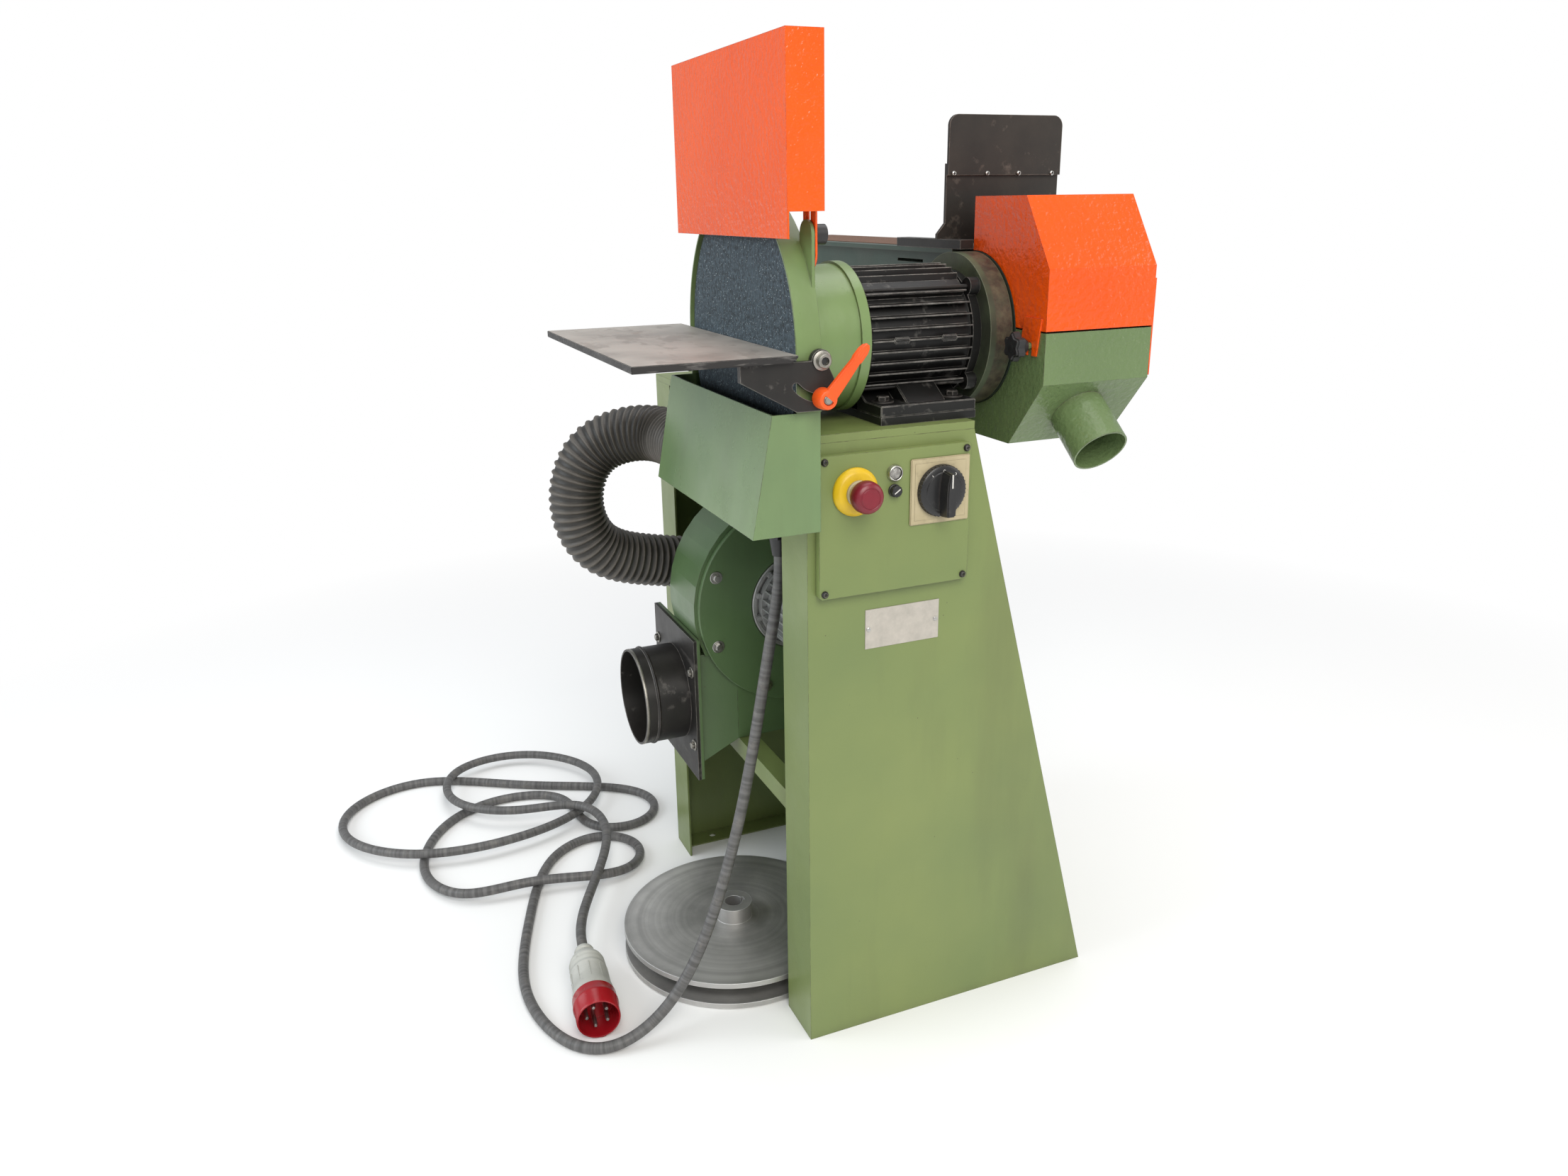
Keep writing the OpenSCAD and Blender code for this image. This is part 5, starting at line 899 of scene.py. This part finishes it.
def make_motor():
    """Finned frame: level fins front and back, upright fins on top, two feet below."""
    frame_piece = Shape()
    wall = [(BORE_R, FRAME_X), (ROOT_R, FRAME_X), (ROOT_R, FRAME_END), (BORE_R, FRAME_END)]
    frame_piece.lathe(wall, ALONG_X, 72)
    start, finish = FRAME_X + 0.5, FRAME_END - 3
    fins = []
    for k in range(-4, 5):
        level, reach = FIN_PITCH * k, math.sqrt(TIP_R**2 - (FIN_PITCH * k) ** 2)
        below = [(-reach, -FIN_TIP), (-50, -FIN_ROOT), (50, -FIN_ROOT), (reach, -FIN_TIP)]
        above = [(reach, FIN_TIP), (50, FIN_ROOT), (-50, FIN_ROOT), (-reach, FIN_TIP)]
        fins.append([(y, level + z) for y, z in below + above])
    for k in range(-3, 4):
        across, reach = FIN_PITCH * k, math.sqrt(TIP_R**2 - (FIN_PITCH * k) ** 2)
        upright = [(-FIN_ROOT, 40), (FIN_ROOT, 40), (FIN_TIP, reach), (-FIN_TIP, reach)]
        fins.append([(across + y, z) for y, z in upright])
    for fin in fins:
        frame_piece.prism(fin, finish - start, ALONG_X @ lifted(start), bevel=0.5)
    boss = [(81, -4.2), (86, -4.2), (86, 4.2), (81, 4.2)]
    foot = [(33, -90), (100, -90), (100, -76), (56, -76), (33, -62)]
    pad = [(40, -77), (93, -77), (88, -73), (62, -56), (40, -50)]
    for side in (-1, 1):
        corner = ALONG_X @ turn("Z", 90 - 41 * side)
        frame_piece.box((68, -11, start), (80.5, 11, finish), corner, bevel=1)
        for outline, x, length, bevel in ((boss, -95, 22, 1.5), (boss, -28, 22, 1.5),
                                          (foot, -120, 135, 1.2), (pad, -80, 56, 1.5)):
            turned = [(side * y, z) for y, z in outline]
            frame_piece.prism(turned, length, ALONG_X @ lifted(x), bevel=bevel)
    frame_piece.make("finned_frame", MOTOR_BLACK, "base", "dark_green_casting", ["motor_frame"])


def make_motor_fasteners():
    """Tie rods with nuts on the end shield's lugs, and the foot bolts, each head turned by another angle."""
    rod_circle, rod_r, rod_start, rod_end, nut_x = 84, 2.6, FRAME_X - 2, 42, 34
    rods = Shape()
    for k in range(4):
        y, z = (rod_circle * trig(math.radians(45 + 90 * k)) for trig in (math.cos, math.sin))
        at = ALONG_X @ Matrix.Translation((y, z, 0))
        rods.lathe([(0, rod_start), (rod_r, rod_start), (rod_r, rod_end), (0, rod_end)], at, 16)
        hex_head(rods, at @ lifted(nut_x), 6.8, 5.5, washer=8.2)
    rods.make("tie_rods", STEEL_BLACK, "base", "black_steel")
    bolts = Shape()
    for x in (-102.5, -2.5):
        for y in (-250, -110):
            hex_head(bolts, Matrix.Translation((x, y, 889)) @ turn("Z", 17 * y + x), 8.3, 6, washer=14)
    bolts.make("foot_screws", STEEL_BLACK, "base", "black_steel", ["foot_bolts"])


def make_blower_cover():
    """Round cover with its bolts, and the blower motor's ribbed flange in the cover's hole."""
    face = on_panel((-115, 552), 0)
    cover = Shape()
    cover.lathe([(75, 0), (160, 0), (160, 6.6), (158.6, 8), (77, 8), (75, 6.5), (75, 0)], face, 96)
    bolts, ribs, bolt_circle = 8, 12, 142
    for i in range(bolts):
        bolt = face @ turn("Z", 360 / bolts * i + 22.5) @ Matrix.Translation((bolt_circle, 0, 8))
        hex_head(cover, bolt @ turn("Z", 31 * i), 6.3, 4.2, washer=9.5, material=1)
    cover.make("round_cover", [FAN_GREEN, BRIGHT], "base", "green_paint", ["blower_cover"])
    flange = Shape()
    flange.lathe([(0, 1), (74.8, 1), (74.8, 7), (73.5, 8.4), (69, 8.4), (68, 5), (0, 5)], face, 72)
    for i in range(ribs):
        rib = [(48, -3), (71, -4.5), (71, 4.5), (48, 3)]
        flange.prism(rib, 11, face @ turn("Z", 360 / ribs * i + 15) @ lifted(4), bevel=1.2)
    flange.lathe([(40, 5), (57, 5), (57, 18), (40, 18)], face, 48)
    flange.make("fan_flange", CAST_ALUMINIUM, "base", "aluminium")


# ------------------------ table, work stop and dust outlet
TABLE_LOW, TABLE_HIGH = (-460, -380), (-274, 20)
TABLE_TOP = 971.5


def make_table():
    """Ground plate, bevelled towards the disc, on ribs that stay back from its edges."""
    (x0, y0), (x1, y1) = TABLE_LOW, TABLE_HIGH
    under, rib_low, rib_x, rib_t = TABLE_TOP - 8, TABLE_TOP - 24, x0 + 40, 8
    table = Shape()
    side = [(x0, under), (x1 - 7.5, under), (x1, TABLE_TOP - 2.5), (x1, TABLE_TOP), (x0, TABLE_TOP)]
    table.prism(side, y1 - y0, on_panel((0, 0), y1), bevel=0.6)
    ribs = (-250, -184, -118)
    for y in ribs:
        table.box((rib_x, y, rib_low), (x0 + 98, y + rib_t, under), bevel=0.6)
    table.box((rib_x, ribs[0], rib_low), (rib_x + rib_t, ribs[-1] + rib_t, under), bevel=0.6)
    table.make("table_plate", TABLE_IRON, "table", "machined_iron", ["table"])


def make_trunnion_screws():
    """Socket screws on washers at the table's pivots."""
    screws = Shape()
    for y, side in ((-374.8, -1), (14.8, 1)):
        at = placed((-242, y, 963), (0, side, 0), (1, 0, 0))
        screws.lathe([(0, -4), (11, -4), (11, -2.6), (10, -2), (0, -2)], at, 32)
        screws.lathe([(0, -2), (7.8, -2), (7.8, 4.4), (7, 5.2), (4.6, 5.2), (4.6, 1.4), (0, 1.4)], at, 32)
        screws.prism(circle(4.4, 6), 0.2, at @ lifted(1.5), material=1)
    screws.make("pivot_screws", [DULL_ZINC, BLACK_PLASTIC], "base", "bright_metal")


def make_stop_screws():
    """Bright screws along the seam of the work stop's plates."""
    screws = Shape()
    for x in (70, 122, 172, 226):
        socket_screw(screws, on_panel((x, 1161), -118), 3.4, 2.4)
    screws.make("stop_screws", [BRIGHT, BLACK_PLASTIC], "stop", "bright_metal")


def make_outlet_mouth():
    """Rolled bead and worn band near the dust outlet's mouth, and the flange's bolts."""
    mouth = Shape()
    at = placed((-286, 87.5, 398), (-1, 0, 0), (0, 0, 1))
    mouth.lathe([(75.1, 47), (76.6, 48.4), (77.2, 50), (76.6, 51.6), (75.1, 53), (75.1, 47)], at, 96)
    mouth.lathe([(72.2, 69.9), (74.9, 69.9), (75.3, 69.2), (75.3, 66), (75.05, 65.6)], at, 96, material=1)
    for y in (-83.5, 83.5):
        for z in (-60, 60):
            bolt = at @ Matrix.Translation((z, y, 0))
            hex_head(mouth, bolt @ turn("Z", 3 * y + z), 6.2, 4, washer=9, material=1)
    mouth.make("outlet_trim", [STEEL_BLACK, DULL_ZINC], "base", "black_steel")


# ------------------------ spring
def make_spring():
    """Coil in the CAD spring's box."""
    low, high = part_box("tension_spring")
    start = low.y / MM
    middle = (low + high) / 2
    centre_x, centre_z = middle.x / MM, middle.z / MM
    coils, wire, radius = 9, 1.5, 9
    steps = coils * 20
    length = (high.y - low.y) / MM
    path = []
    for i in range(steps + 1):
        t = i / steps
        a = 2 * math.pi * coils * t
        rise = wire + t * (length - 2 * wire)
        path.append(Vector((centre_x + radius * math.cos(a), start + rise, centre_z - radius * math.sin(a))))
    coil = Shape().tube(path, wire, 10)
    obj = coil.make("tension_coil", BRIGHT, "arm", "bright_metal", ["tension_spring"])
    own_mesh(obj)


# ------------------------ floor and light
def add_floor():
    mesh = bpy.data.meshes.new("floor")
    reach = 14
    corners = [(-reach, -reach, 0), (reach, -reach, 0), (reach, reach, 0), (-reach, reach, 0)]
    mesh.from_pydata(corners, [], [(0, 1, 2, 3)])
    mesh.materials.append(floor_paint())
    obj = bpy.data.objects.new("floor", mesh)
    bpy.context.scene.collection.objects.link(obj)


def add_lamp(name, at, target, size, power, colour):
    """A square area light that looks at target."""
    data = bpy.data.lights.new(name, "AREA")
    data.shape = "SQUARE"
    data.size = size
    data.energy = power
    data.color = colour
    obj = bpy.data.objects.new(name, data)
    bpy.context.scene.collection.objects.link(obj)
    obj.location = at
    obj.rotation_euler = (Vector(target) - Vector(at)).to_track_quat("-Z", "Y").to_euler()


def add_world():
    """Faint blue light from all round, behind a plain white background."""
    world = bpy.data.worlds.new("studio")
    bpy.context.scene.world = world
    world.use_nodes = True
    nodes, links = world.node_tree.nodes, world.node_tree.links
    nodes.clear()
    path = nodes.new("ShaderNodeLightPath")
    seen = nodes.new("ShaderNodeMath")
    seen.operation = "MAXIMUM"
    links.new(path.outputs["Is Camera Ray"], seen.inputs[0])
    links.new(path.outputs["Is Transmission Ray"], seen.inputs[1])
    light = nodes.new("ShaderNodeBackground")
    light.inputs["Color"].default_value = (0.93, 0.96, 1, 1)
    light.inputs["Strength"].default_value = 0.5
    white = nodes.new("ShaderNodeBackground")
    white.inputs["Strength"].default_value = 1
    white.inputs["Color"].default_value = (1, 1, 1, 1)
    mixed = nodes.new("ShaderNodeMixShader")
    output = nodes.new("ShaderNodeOutputWorld")
    links.new(seen.outputs[0], mixed.inputs[0])
    links.new(light.outputs[0], mixed.inputs[1])
    links.new(white.outputs[0], mixed.inputs[2])
    links.new(mixed.outputs[0], output.inputs[0])


def light_scene():
    middle = (-0.1, 0, 0.7)
    add_lamp("key", (-0.6, -3.0, 2.9), middle, 2.2, 105, (1.0, 0.97, 0.92))
    add_lamp("left", (-3.4, 0.4, 1.9), middle, 2.4, 62, (0.88, 0.95, 1.0))
    add_lamp("right", (2.8, -1.6, 2.0), middle, 2.0, 26, (1.0, 0.96, 0.9))
    add_lamp("top", (0.2, 0.3, 3.6), middle, 2.6, 48, (1.0, 1.0, 1.0))
    add_world()


# ------------------------ build
add_camera()
bpy.context.scene.view_settings.view_transform = "Standard"
dress_nodes()
make_cord(make_plug())
make_hose()
make_stop_button()
make_lamp_and_fuse()
make_switch()
make_panel_screws()
make_nameplate()
make_lever("front_lever_handle", -370, -1, "front_lever", "clamp_lever")
make_lever("rear_lever_handle", 10, 1, "rear_lever", "rear_clamp_lever")
make_star_knob()
make_spring()
make_motor()
make_motor_fasteners()
make_blower_cover()
make_table()
make_trunnion_screws()
make_stop_screws()
make_outlet_mouth()
add_floor()
light_scene()
